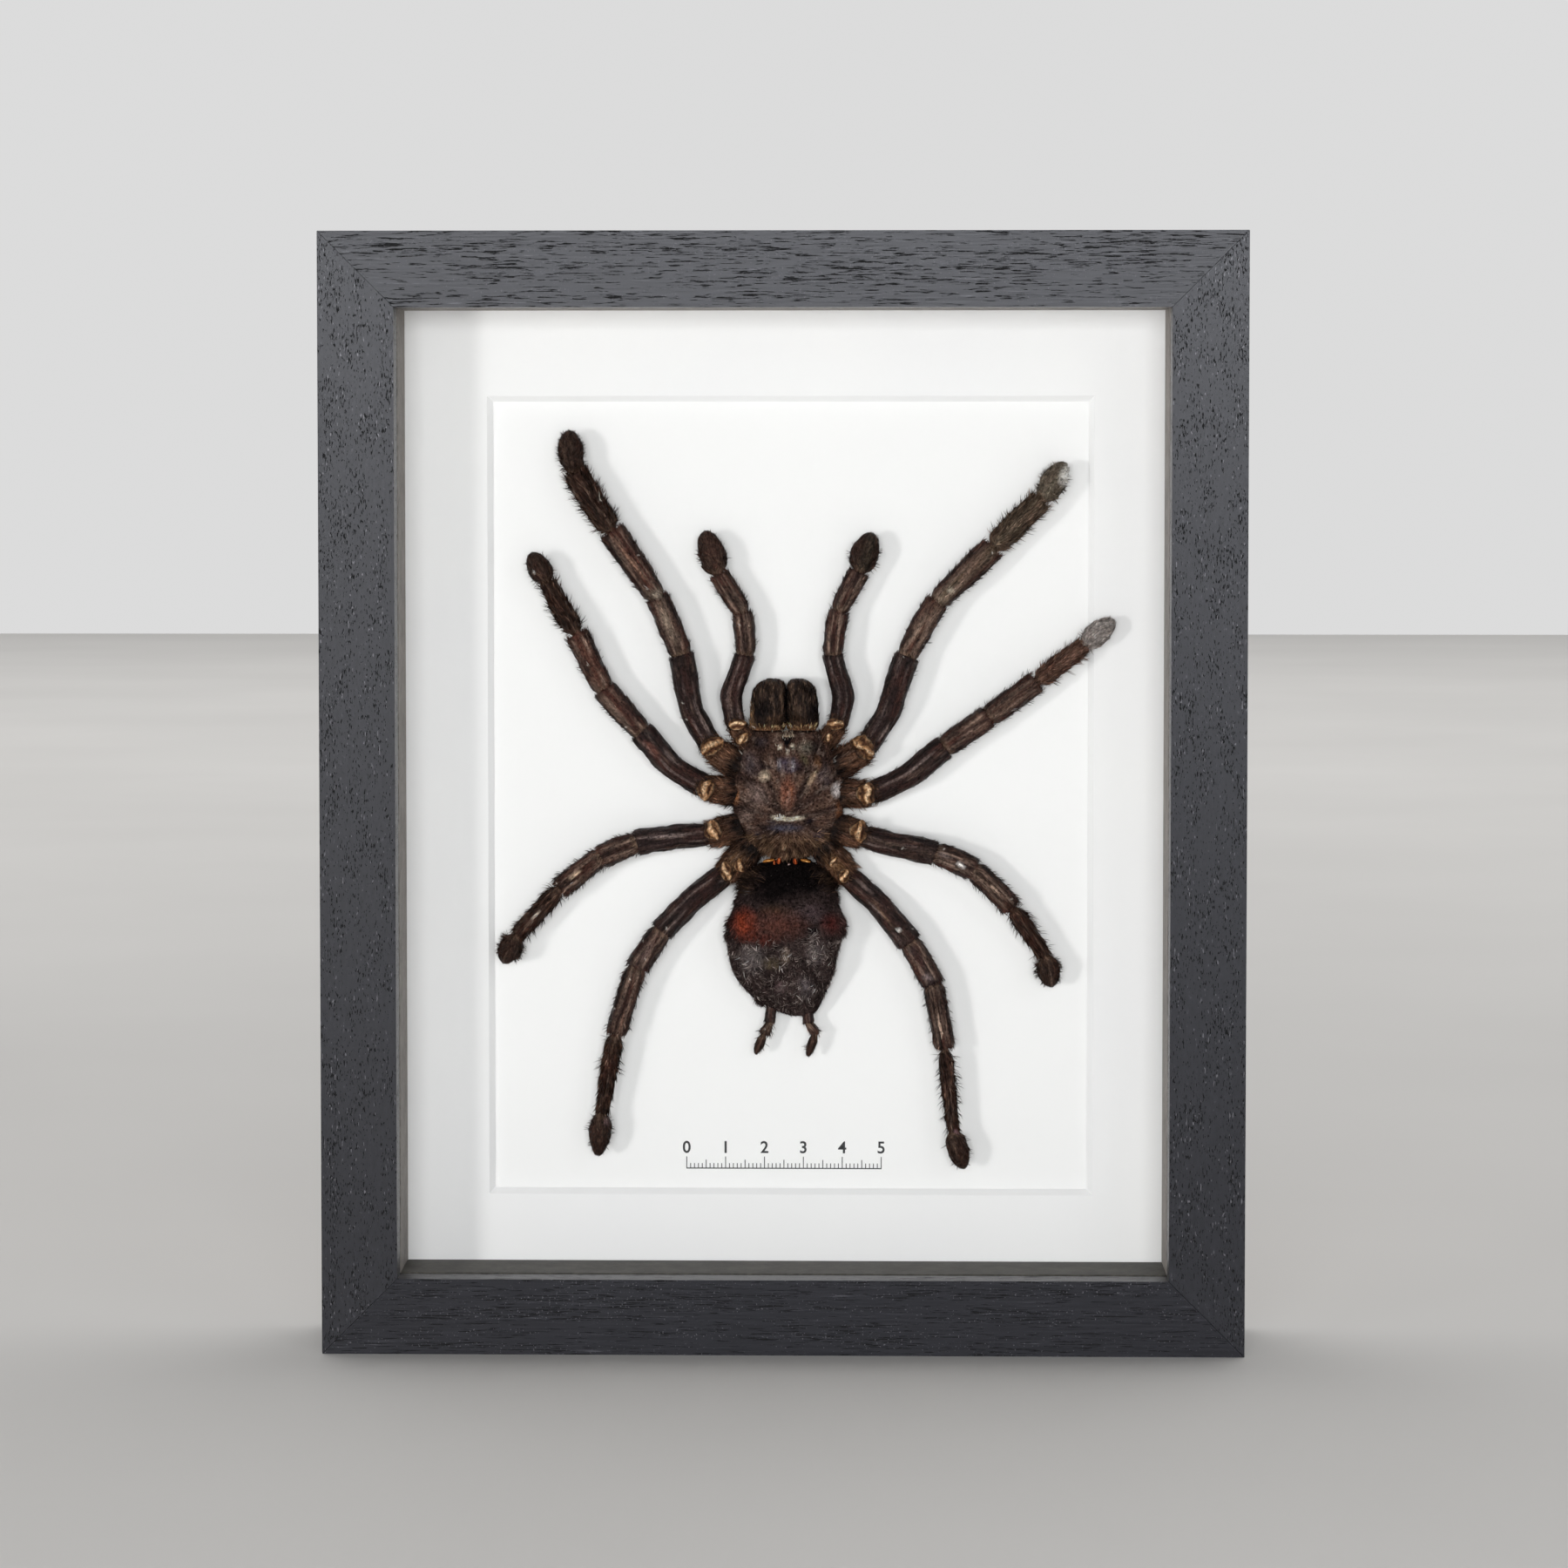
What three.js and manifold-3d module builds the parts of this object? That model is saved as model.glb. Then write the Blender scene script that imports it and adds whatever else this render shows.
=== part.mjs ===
// A dried, spread tarantula in a standard 10 x 8 inch box frame: a deep mitred moulding, a pane
// of glass, four spacer fillets, a bevelled window mat, the card that the spider is glued to and
// a back board held by steel tabs. A sawtooth hanger is nailed to the back of the top rail.
//
// Millimetres, +Z up. The glass faces -Y and +X is to the right of someone looking at it. The
// origin is under the middle of the whole object, on the surface that it stands on.

import * as THREE from 'three';
import { mergeVertices } from 'three/addons/utils/BufferGeometryUtils.js';
import Module from 'manifold-3d';

const wasm = await Module();
wasm.setup();

// ---- Driving dimensions -------------------------------------------------------------------

const PANE_WIDTH = 203; // an 8 x 10 in pane, mat, card and back board
const PANE_HEIGHT = 253;
const PANE_PLAY = 0.8; // room between the pane's edge and the rebate, all round
const GAP = 0.2; // between pieces that touch

const FACE = 19; // moulding, seen from the front
const LIP_COVER = 5.5; // how far the lip reaches in front of the rebate
const LIP_DEPTH = 6.5;
const MOULDING_DEPTH = 35;
const MITRE_GAP = 0.12; // across the glued joint

const GLASS_THICK = 2;
const SPACER_DEPTH = 16.4;
const MAT_THICK = 1.4;
const CARD_THICK = 1.5;
const BOARD_THICK = 3;

const WINDOW_WIDTH = 152; // the mat's opening at its back edge, 8 x 6 in
const WINDOW_HEIGHT = 202;
const WINDOW_SHIFT_X = 1.6; // the mat is cut and packed a little off centre
const WINDOW_SHIFT_Z = -2.3;

const TAB_LENGTH = 16;
const TAB_WIDTH = 6;
const TAB_THICK = 0.5;
const TAB_SUNK = 6; // how much of a tab is driven into the rail
const TAB_REACH_X = 45; // tabs on the short rails, from the middle
const TAB_REACH_Z = 62; // tabs on the long rails, from the middle

const HANGER_WIDTH = 44;
const HANGER_HEIGHT = 9;
const HANGER_THICK = 1;
const HANGER_TEETH = 11;
const TOOTH_DEPTH = 1.8;
const NAIL_REACH = 18; // nails, from the middle of the hanger
const NAIL_RADIUS = 0.7;
const NAIL_LENGTH = 9;
const NAIL_HEAD_RADIUS = 1.9;
const NAIL_HEAD_THICK = 0.8;
const NAIL_SIDES = 12;

// ---- Sizes that follow ---------------------------------------------------------------------

const REBATE_HALF_X = PANE_WIDTH / 2 + PANE_PLAY;
const REBATE_HALF_Z = PANE_HEIGHT / 2 + PANE_PLAY;
const WALL = FACE - LIP_COVER; // the moulding beside the rebate
const OUTER_WIDTH = 2 * (REBATE_HALF_X + WALL);
const OUTER_HEIGHT = 2 * (REBATE_HALF_Z + WALL);
const MIDDLE_Z = OUTER_HEIGHT / 2;
const HANGER_Z = OUTER_HEIGHT - WALL / 2; // the hanger's middle, on the top rail
const NAIL_Z = HANGER_Z + 1; // the nails go through its upper half

// Depths are counted back from the front face of the moulding.
const HANGER_FRONT = MOULDING_DEPTH + GAP;
const NAIL_HEAD_FRONT = HANGER_FRONT + HANGER_THICK + GAP;
const TOTAL_DEPTH = NAIL_HEAD_FRONT + NAIL_HEAD_THICK;
const FRONT_Y = -TOTAL_DEPTH / 2;
const GLASS_FRONT = LIP_DEPTH + GAP;
const SPACER_FRONT = GLASS_FRONT + GLASS_THICK + GAP;
const MAT_FRONT = SPACER_FRONT + SPACER_DEPTH + GAP;
const CARD_FRONT = MAT_FRONT + MAT_THICK + GAP;
const BOARD_FRONT = CARD_FRONT + CARD_THICK + GAP;
const TAB_FRONT = BOARD_FRONT + BOARD_THICK + GAP;

// ---- Finishes ------------------------------------------------------------------------------

function finish(color, roughness, metalness = 0) {
  return new THREE.MeshStandardMaterial({ color, roughness, metalness });
}

function glassFinish() {
  const material = finish(0xf4f8f7, 0.03);
  material.transparent = true;
  material.opacity = 0.2;
  return material;
}

const FINISHES = {
  blackWood: () => finish(0x303136, 0.45),
  paleWood: () => finish(0x8f8b82, 0.7),
  glass: glassFinish,
  mat: () => finish(0xf1efeb, 0.9),
  card: () => finish(0xf5f3f1, 0.9),
  board: () => finish(0x8a6c4c, 0.85),
  steel: () => finish(0xa9a9a6, 0.35, 1),
  cuticle: () => finish(0x35241d, 0.5),
};

// ---- Building bodies -----------------------------------------------------------------------

const part = new THREE.Group();

function add(parent, name, geometry, finishName) {
  const mesh = new THREE.Mesh(geometry, FINISHES[finishName]());
  mesh.name = name;
  parent.add(mesh);
  return mesh;
}

// A BufferGeometry from points and triangles, turned so that its faces point out.
function body(points, triangles) {
  let volume = 0;
  for (const [a, b, c] of triangles) {
    volume += points[a].dot(new THREE.Vector3().crossVectors(points[b], points[c]));
  }
  const index = triangles.flatMap(([a, b, c]) => (volume > 0 ? [a, b, c] : [a, c, b]));
  const geometry = new THREE.BufferGeometry();
  geometry.setFromPoints(points);
  geometry.setIndex(index);
  geometry.computeVertexNormals();
  return geometry;
}

// Triangles between two loops of the same number of points, given by their first indices.
function band(first, second, count) {
  const triangles = [];
  for (let i = 0; i < count; i += 1) {
    const j = (i + 1) % count;
    triangles.push([first + i, first + j, second + j], [first + i, second + j, second + i]);
  }
  return triangles;
}

// A closed body through a row of rings, each end closed by a fan to the middle of its ring.
function loft(rings) {
  const count = rings[0].length;
  const points = rings.flat();
  const triangles = [];
  for (let r = 1; r < rings.length; r += 1) {
    triangles.push(...band((r - 1) * count, r * count, count));
  }
  const caps = [
    { ring: rings[0], first: 0, flip: true },
    { ring: rings.at(-1), first: (rings.length - 1) * count, flip: false },
  ];
  for (const { ring, first, flip } of caps) {
    const middle = new THREE.Vector3();
    ring.forEach((point) => middle.add(point));
    points.push(middle.divideScalar(count));
    const hub = points.length - 1;
    for (let i = 0; i < count; i += 1) {
      const [a, b] = [first + i, first + ((i + 1) % count)];
      triangles.push(flip ? [hub, b, a] : [hub, a, b]);
    }
  }
  return body(points, triangles);
}

function block(x, depth, z, width, thick, height) {
  const geometry = new THREE.BoxGeometry(width, thick, height);
  return geometry.translate(x, FRONT_Y + depth + thick / 2, z);
}

function toSolid(geometry) {
  const bare = geometry.clone();
  bare.deleteAttribute('normal');
  bare.deleteAttribute('uv');
  const merged = mergeVertices(bare, 1e-4);
  const vertProperties = new Float32Array(merged.attributes.position.array);
  const triVerts = new Uint32Array(merged.index.array);
  return new wasm.Manifold(new wasm.Mesh({ numProp: 3, vertProperties, triVerts }));
}

function cut(geometry, cutters) {
  let solid = toSolid(geometry);
  for (const cutter of cutters) {
    solid = solid.subtract(toSolid(cutter));
  }
  const { vertProperties, triVerts } = solid.getMesh();
  const result = new THREE.BufferGeometry();
  result.setAttribute('position', new THREE.BufferAttribute(vertProperties, 3));
  result.setIndex(new THREE.BufferAttribute(triVerts, 1));
  result.computeVertexNormals();
  return result;
}

// ---- Mitred frames: the moulding and the spacer fillets -------------------------------------

// The four sides of a frame, with the half size across it (out) and the half size along it, and
// how a point (along, out from the middle) of a side lies in X and Z.
function sidesOf(halfX, halfZ) {
  return [
    { name: 'top', reach: halfZ, run: halfX, place: (along, out) => [along, out] },
    { name: 'bottom', reach: halfZ, run: halfX, place: (along, out) => [-along, -out] },
    { name: 'left', reach: halfX, run: halfZ, place: (along, out) => [-out, along] },
    { name: 'right', reach: halfX, run: halfZ, place: (along, out) => [out, -along] },
  ];
}

// One side with 45 degree ends. The section's points are [in from the outer edge, depth].
function mitredBar(side, section) {
  const count = section.length;
  const points = [];
  for (const end of [-1, 1]) {
    for (const [inset, depth] of section) {
      const along = end * (side.run - inset - MITRE_GAP / 2);
      const [x, z] = side.place(along, side.reach - inset);
      points.push(new THREE.Vector3(x, FRONT_Y + depth, MIDDLE_Z + z));
    }
  }
  const outline = section.map(([inset, depth]) => new THREE.Vector2(inset, depth));
  const cap = THREE.ShapeUtils.triangulateShape(outline, []);
  const flipsCap = THREE.ShapeUtils.isClockWise(outline);
  const nearCap = cap.map(([a, b, c]) => (flipsCap ? [a, b, c] : [a, c, b]));
  const farCap = nearCap.map(([a, b, c]) => [a + count, c + count, b + count]);
  return body(points, [...nearCap, ...farCap, ...band(0, count, count)]);
}

const RAIL_SECTION = [
  [0, 0],
  [FACE, 0],
  [FACE, LIP_DEPTH],
  [WALL, LIP_DEPTH],
  [WALL, MOULDING_DEPTH],
  [0, MOULDING_DEPTH],
];

const SPACER_SECTION = [
  [0, SPACER_FRONT],
  [LIP_COVER - GAP, SPACER_FRONT],
  [LIP_COVER - GAP, SPACER_FRONT + SPACER_DEPTH],
  [0, SPACER_FRONT + SPACER_DEPTH],
];

// A block on a side of the frame, such as a tab or the slot that it is driven into.
function blockOnSide(side, along, outFrom, outTo, depth, thick, width) {
  const [x, z] = side.place(along, (outFrom + outTo) / 2);
  const across = Math.abs(outTo - outFrom);
  const standing = side.name === 'top' || side.name === 'bottom';
  const [sizeX, sizeZ] = standing ? [width, across] : [across, width];
  return block(x, depth, MIDDLE_Z + z, sizeX, thick, sizeZ);
}

// The hole in the top rail that a nail is driven into.
function nailHole(x) {
  const hole = new THREE.CylinderGeometry(
    NAIL_RADIUS + GAP, NAIL_RADIUS + GAP, NAIL_LENGTH + 1, NAIL_SIDES,
  );
  return hole.translate(x, FRONT_Y + MOULDING_DEPTH - (NAIL_LENGTH - 1) / 2, NAIL_Z);
}

function addMouldingAndTabs() {
  const sides = sidesOf(OUTER_WIDTH / 2, OUTER_HEIGHT / 2);
  for (const side of sides) {
    const wallFace = side.reach - WALL;
    const standing = side.name === 'top' || side.name === 'bottom';
    const reach = standing ? TAB_REACH_X : TAB_REACH_Z;
    const slots = [-reach, reach].map((along) => blockOnSide(
      side, along, wallFace - 1, wallFace + TAB_SUNK + 2 * GAP,
      TAB_FRONT - GAP, TAB_THICK + 2 * GAP, TAB_WIDTH + 2 * GAP,
    ));
    const holes = side.name === 'top' ? [-NAIL_REACH, NAIL_REACH].map(nailHole) : [];
    const rail = cut(mitredBar(side, RAIL_SECTION), [...slots, ...holes]);
    add(part, `rail_${side.name}`, rail, 'blackWood');
    [-reach, reach].forEach((along, i) => {
      const tab = blockOnSide(
        side, along, wallFace + TAB_SUNK - TAB_LENGTH, wallFace + TAB_SUNK,
        TAB_FRONT, TAB_THICK, TAB_WIDTH,
      );
      add(part, `tab_${side.name}_${i + 1}`, tab, 'steel');
    });
  }
}

function addSpacers() {
  for (const side of sidesOf(REBATE_HALF_X - GAP, REBATE_HALF_Z - GAP)) {
    add(part, `spacer_${side.name}`, mitredBar(side, SPACER_SECTION), 'paleWood');
  }
}

// ---- Flat sheets -----------------------------------------------------------------------------

function rectangle(x, z, width, height, depth) {
  return [[-1, -1], [1, -1], [1, 1], [-1, 1]].map(([i, j]) => new THREE.Vector3(
    x + (i * width) / 2, FRONT_Y + depth, z + (j * height) / 2,
  ));
}

// The mat: a sheet with a window whose edge is cut at 45 degrees, wider at the front.
function matGeometry() {
  const x = WINDOW_SHIFT_X;
  const z = MIDDLE_Z + WINDOW_SHIFT_Z;
  const back = MAT_FRONT + MAT_THICK;
  const loops = [
    rectangle(0, MIDDLE_Z, PANE_WIDTH, PANE_HEIGHT, MAT_FRONT),
    rectangle(0, MIDDLE_Z, PANE_WIDTH, PANE_HEIGHT, back),
    rectangle(x, z, WINDOW_WIDTH, WINDOW_HEIGHT, back),
    rectangle(x, z, WINDOW_WIDTH + 2 * MAT_THICK, WINDOW_HEIGHT + 2 * MAT_THICK, MAT_FRONT),
  ];
  const triangles = loops.flatMap((_, i) => band(4 * i, 4 * ((i + 1) % loops.length), 4));
  return body(loops.flat(), triangles);
}

function addSheets() {
  const sheet = (depth, thick) => block(0, depth, MIDDLE_Z, PANE_WIDTH, thick, PANE_HEIGHT);
  add(part, 'glass', sheet(GLASS_FRONT, GLASS_THICK), 'glass');
  add(part, 'mat', matGeometry(), 'mat');
  add(part, 'card', sheet(CARD_FRONT, CARD_THICK), 'card');
  add(part, 'back_board', sheet(BOARD_FRONT, BOARD_THICK), 'board');
}

// ---- Hanger ------------------------------------------------------------------------------------

// A strip with a row of teeth along its lower edge and a nail hole at each end.
function hangerGeometry() {
  const halfWidth = HANGER_WIDTH / 2;
  const top = HANGER_HEIGHT / 2;
  const toothed = HANGER_WIDTH * 0.6;
  const pitch = toothed / HANGER_TEETH;
  const shape = new THREE.Shape();
  shape.moveTo(-halfWidth, top);
  shape.lineTo(-halfWidth, -top);
  for (let i = 0; i < HANGER_TEETH; i += 1) {
    const start = -toothed / 2 + i * pitch;
    shape.lineTo(start, -top);
    shape.lineTo(start + pitch / 2, -top + TOOTH_DEPTH);
  }
  shape.lineTo(toothed / 2, -top);
  shape.lineTo(halfWidth, -top);
  shape.lineTo(halfWidth, top);
  const nailRise = NAIL_Z - HANGER_Z;
  for (const x of [-NAIL_REACH, NAIL_REACH]) {
    const hole = new THREE.Path();
    for (let i = 0; i < NAIL_SIDES; i += 1) {
      const angle = (i / NAIL_SIDES) * 2 * Math.PI;
      const radius = NAIL_RADIUS + GAP;
      const [hx, hz] = [x + radius * Math.sin(angle), nailRise + radius * Math.cos(angle)];
      if (i === 0) hole.moveTo(hx, hz);
      else hole.lineTo(hx, hz);
    }
    hole.closePath();
    shape.holes.push(hole);
  }
  const plate = new THREE.ExtrudeGeometry(shape, { depth: HANGER_THICK, bevelEnabled: false });
  plate.rotateX(Math.PI / 2);
  return plate.translate(0, FRONT_Y + HANGER_FRONT + HANGER_THICK, HANGER_Z);
}

// A nail, drawn along +Y with the top of its head at the far end.
function nailGeometry(x) {
  const profile = [
    [0, 0],
    [NAIL_RADIUS, 1],
    [NAIL_RADIUS, NAIL_LENGTH],
    [NAIL_HEAD_RADIUS, NAIL_LENGTH],
    [NAIL_HEAD_RADIUS, NAIL_LENGTH + NAIL_HEAD_THICK],
    [0, NAIL_LENGTH + NAIL_HEAD_THICK],
  ].map(([radius, y]) => new THREE.Vector2(radius, y));
  const nail = new THREE.LatheGeometry(profile, NAIL_SIDES);
  return nail.translate(x, FRONT_Y + NAIL_HEAD_FRONT - NAIL_LENGTH, NAIL_Z);
}

function addHanger() {
  add(part, 'hanger', hangerGeometry(), 'steel');
  add(part, 'hanger_nail_left', nailGeometry(-NAIL_REACH), 'steel');
  add(part, 'hanger_nail_right', nailGeometry(NAIL_REACH), 'steel');
}

// ---- The spider ----------------------------------------------------------------------------------

// It is drawn about its waist: x to the right, z towards its head, and h the height above the
// card, in millimetres. The group puts the waist on the card.
const WAIST_X = 1;
const WAIST_Z = 121.8;
const spider = new THREE.Group();
spider.position.set(WAIST_X, FRONT_Y + CARD_FRONT, WAIST_Z);
part.add(spider);

const BODY_SIDES = 16;
const LIMB_SIDES = 8;
const CLEARANCE = 0.3; // between a limb and the body

// A station across the body: [z, middle x, half width, height of the back, height of the belly].
const CARAPACE = [
  [1.4, 0, 3.4, 6.6, 2.2],
  [3, 0, 6.4, 7.8, 1.2],
  [6, 0, 9.2, 8.9, 0.7],
  [10.5, 0, 12, 9.8, 0.5],
  [15, 0, 13.5, 10.4, 0.5],
  [20, 0, 13.5, 10.8, 0.5],
  [24, 0, 12.3, 11, 0.6],
  [28, 0, 10.6, 11, 0.9],
  [31.5, 0, 9.3, 10.2, 1.4],
  [33.4, 0, 8.3, 8.6, 2.4],
];

const ABDOMEN = [
  [1, 0, 3, 5.6, 2.6],
  [-1, 0, 5.8, 8.4, 1.4],
  [-3, -0.3, 9, 10.2, 0.7],
  [-6.5, -0.3, 11.5, 11.8, 0.4],
  [-10.5, -0.5, 13.2, 12.8, 0.3],
  [-15, -0.5, 14.8, 13.3, 0.3],
  [-19.5, -0.8, 14.8, 13.3, 0.3],
  [-24, -1.1, 14, 12.7, 0.3],
  [-28.5, -0.9, 12.8, 11.5, 0.3],
  [-33, -0.4, 10.5, 9.6, 0.5],
  [-36, 0.3, 8.2, 7.8, 1],
  [-38.5, 1, 6, 6.2, 1.7],
  [-39.7, 1.2, 4, 4.8, 2.5],
];

const CHELICERA = [
  [33.8, 4.4, 3.7, 7.8, 1.8],
  [36, 4.6, 4.2, 8.8, 1.2],
  [39.5, 4.5, 4.2, 9, 1],
  [42.5, 4.2, 3.9, 8.8, 1],
  [45, 3.7, 3.4, 8, 1.3],
  [46.5, 3.4, 2.6, 6.8, 2.2],
  [47.2, 3.2, 1.5, 5.6, 3.4],
];

// A rounded body through its stations. grow makes it larger all round, for cutting clearance.
function rounded(stations, mirror = 1, grow = 0) {
  const last = stations.length - 1;
  const heading = Math.sign(stations[last][0] - stations[0][0]);
  const rings = stations.map(([z, x, half, top, bottom], i) => {
    const shift = (i === 0 ? -heading : 0) + (i === last ? heading : 0);
    const ring = [];
    for (let k = 0; k < BODY_SIDES; k += 1) {
      const angle = (k / BODY_SIDES) * 2 * Math.PI;
      const height = (top + bottom) / 2 + ((top - bottom) / 2 + grow) * Math.sin(angle);
      const across = mirror * x + (half + grow) * Math.cos(angle);
      ring.push(new THREE.Vector3(across, -height, z + shift * grow));
    }
    return ring;
  });
  return loft(rings);
}

// A limb is a row of segments. Each runs between two of its joints and is narrow where it leaves
// the one before, fuller further out: its half widths are taken at these shares of its length.
const SEGMENT_SHARES = [0, 0.12, 0.5, 0.9];
const TIP_SHARES = [0, 0.15, 0.5, 0.8, 0.94];
const FLATNESS = 0.88; // a limb's thickness over its width
const BEND_SOFTNESS = 0.25; // segments are nearly straight and bend at their joints

const LEG_SEGMENTS = [
  { from: 0, to: 1, halves: [2.7, 3, 3.1, 2.9] }, // coxa and trochanter
  { from: 1, to: 3, halves: [2.6, 2.9, 3, 3.2] }, // femur
  { from: 3, to: 4, halves: [2.5, 2.8, 3, 3.1] }, // patella
  { from: 4, to: 5, halves: [2.3, 2.6, 2.8, 3], scaled: true }, // tibia
  { from: 5, to: 6, halves: [2, 2.3, 2.5, 2.7], scaled: true }, // metatarsus
  { from: 6, to: 7, halves: [2.2, 2.6, 2.7, 2.5, 1.6], scaled: true }, // tarsus
];

const PALP_SEGMENTS = [
  { from: 0, to: 1, halves: [1.9, 2.1, 2.2, 2.2] }, // coxa and trochanter
  { from: 1, to: 3, halves: [2.1, 2.4, 2.6, 2.5] }, // femur
  { from: 3, to: 4, halves: [2.2, 2.4, 2.6, 2.6] }, // patella
  { from: 4, to: 5, halves: [2.1, 2.3, 2.4, 2.5] }, // tibia
  { from: 5, to: 6, halves: [2.3, 3, 3.2, 2.9, 1.8] }, // tarsus
];

// Heights of the joints over the card: the dried legs reach out level and clear of it.
const LEG_HEIGHTS = [4.2, 4.8, 6.2, 6.8, 6.8, 6.6, 6.4, 6.2];
const PALP_HEIGHTS = [4, 4.8, 6, 6.6, 6.4, 6, 5.6];

// Joints of each limb, as [x, z]: hip, trochanter, middle of the femur, knee, far end of the
// patella, of the tibia and of the metatarsus, and tip. A palp has no metatarsus. girth widens
// or thins the outer segments.
const LEGS = {
  leg_left_1: {
    girth: 1.14,
    joints: [
      [-12, 24], [-19, 29], [-24.5, 39], [-27.2, 53],
      [-33.2, 67.5], [-45.4, 84.6], [-54.5, 99.6], [-56.2, 110],
    ],
  },
  leg_left_2: {
    girth: 0.96,
    joints: [
      [-12.5, 18], [-20.5, 19], [-29.5, 24.5], [-37.2, 33.4],
      [-46.6, 44.2], [-53.7, 58.2], [-61.5, 71.3], [-65.8, 78.8],
    ],
  },
  leg_left_3: {
    girth: 0.98,
    joints: [
      [-12, 9], [-20, 7], [-29, 6.5], [-38.5, 5],
      [-47.5, 1.5], [-58, -6.7], [-68, -19], [-71.8, -26],
    ],
  },
  leg_left_4: {
    girth: 0.85,
    joints: [
      [-9, 4.5], [-16, -3], [-24.5, -9.5], [-32, -17.5],
      [-38.4, -26.8], [-43.5, -44.5], [-47, -64.5], [-48, -75.2],
    ],
  },
  leg_right_1: {
    girth: 1.16,
    joints: [
      [11.5, 24], [19.5, 29], [25.5, 38.5], [30.4, 52.8],
      [38.4, 66.4], [53.5, 80], [65, 92], [70.4, 101.6],
    ],
  },
  leg_right_2: {
    girth: 1,
    joints: [
      [12, 18], [20.5, 17.5], [31, 22.5], [39.8, 29.7],
      [51.4, 37.5], [64.4, 46.5], [76.2, 55.2], [83.4, 61.6],
    ],
  },
  leg_right_3: {
    girth: 0.94,
    joints: [
      [11.5, 9], [19, 6.5], [28, 4.5], [37.5, 2.5],
      [47.2, -1.6], [57, -11.5], [65.5, -24], [67.5, -31.8],
    ],
  },
  leg_right_4: {
    girth: 0.85,
    joints: [
      [8.5, 4.5], [15.5, -3.5], [23.5, -11], [31, -20.3],
      [36.8, -30.8], [40, -47.5], [42.3, -69], [45, -78.6],
    ],
  },
};

const PALPS = {
  palp_left: [
    [-8, 28], [-13, 34.5], [-14.5, 42.5], [-11, 53],
    [-11.5, 63.5], [-17.5, 73.5], [-21.2, 84.4],
  ],
  palp_right: [
    [7.5, 28], [12.5, 34.5], [14, 42.5], [11.5, 53],
    [13, 64], [18, 74], [21.4, 84],
  ],
};

const SPINNERETS = {
  spinneret_left: [[-4, -36], [-4.7, -41.3], [-6.2, -44.5], [-8, -48.7]],
  spinneret_right: [[5, -36], [5.3, -41.3], [6.8, -44.3], [5.4, -49.4]],
};
const SPINNERET_SEGMENTS = [{ from: 0, to: 3, halves: [1.6, 1.5, 1.2, 1.1, 0.7] }];
const SPINNERET_HEIGHTS = [3.6, 4.4, 4.8, 5];

function limb(joints, heights, segments, girth = 1) {
  const points = joints.map(([x, z], i) => new THREE.Vector3(x, -heights[i], z));
  const curve = new THREE.CatmullRomCurve3(points, false, 'catmullrom', BEND_SOFTNESS);
  const rings = [];
  for (const { from, to, halves, scaled } of segments) {
    const shares = halves.length === TIP_SHARES.length ? TIP_SHARES : SEGMENT_SHARES;
    halves.forEach((half, i) => {
      const place = (from + (to - from) * shares[i]) / (points.length - 1);
      const scale = scaled ? 1 + (girth - 1) * shares[i] : 1;
      rings.push(limbRing(curve, place, half * scale));
    });
  }
  const tipHalf = segments.at(-1).halves.at(-1) / 2;
  rings.push(limbRing(curve, 1, tipHalf));
  return loft(rings);
}

function limbRing(curve, place, half) {
  const middle = curve.getPoint(place);
  const ahead = curve.getTangent(place);
  const side = new THREE.Vector3(0, -1, 0).cross(ahead).normalize();
  const rise = new THREE.Vector3().crossVectors(ahead, side).normalize();
  const ring = [];
  for (let k = 0; k < LIMB_SIDES; k += 1) {
    const angle = ((k + 0.5) / LIMB_SIDES) * 2 * Math.PI;
    const point = middle.clone();
    point.addScaledVector(side, half * Math.cos(angle));
    point.addScaledVector(rise, half * FLATNESS * Math.sin(angle));
    ring.push(point);
  }
  return ring;
}

function addSpider() {
  add(spider, 'carapace', rounded(CARAPACE), 'cuticle');
  add(spider, 'abdomen', rounded(ABDOMEN), 'cuticle');
  add(spider, 'chelicera_left', rounded(CHELICERA, -1), 'cuticle');
  add(spider, 'chelicera_right', rounded(CHELICERA, 1), 'cuticle');
  const carapaceRoom = rounded(CARAPACE, 1, CLEARANCE);
  const abdomenRoom = rounded(ABDOMEN, 1, CLEARANCE);
  for (const [name, { joints, girth }] of Object.entries(LEGS)) {
    const leg = limb(joints, LEG_HEIGHTS, LEG_SEGMENTS, girth);
    add(spider, name, cut(leg, [carapaceRoom]), 'cuticle');
  }
  for (const [name, joints] of Object.entries(PALPS)) {
    const palp = limb(joints, PALP_HEIGHTS, PALP_SEGMENTS);
    add(spider, name, cut(palp, [carapaceRoom]), 'cuticle');
  }
  for (const [name, joints] of Object.entries(SPINNERETS)) {
    const spinneret = limb(joints, SPINNERET_HEIGHTS, SPINNERET_SEGMENTS);
    add(spider, name, cut(spinneret, [abdomenRoom]), 'cuticle');
  }
}

addMouldingAndTabs();
addSpacers();
addSheets();
addHanger();
addSpider();

export default part;
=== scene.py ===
import math

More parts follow.
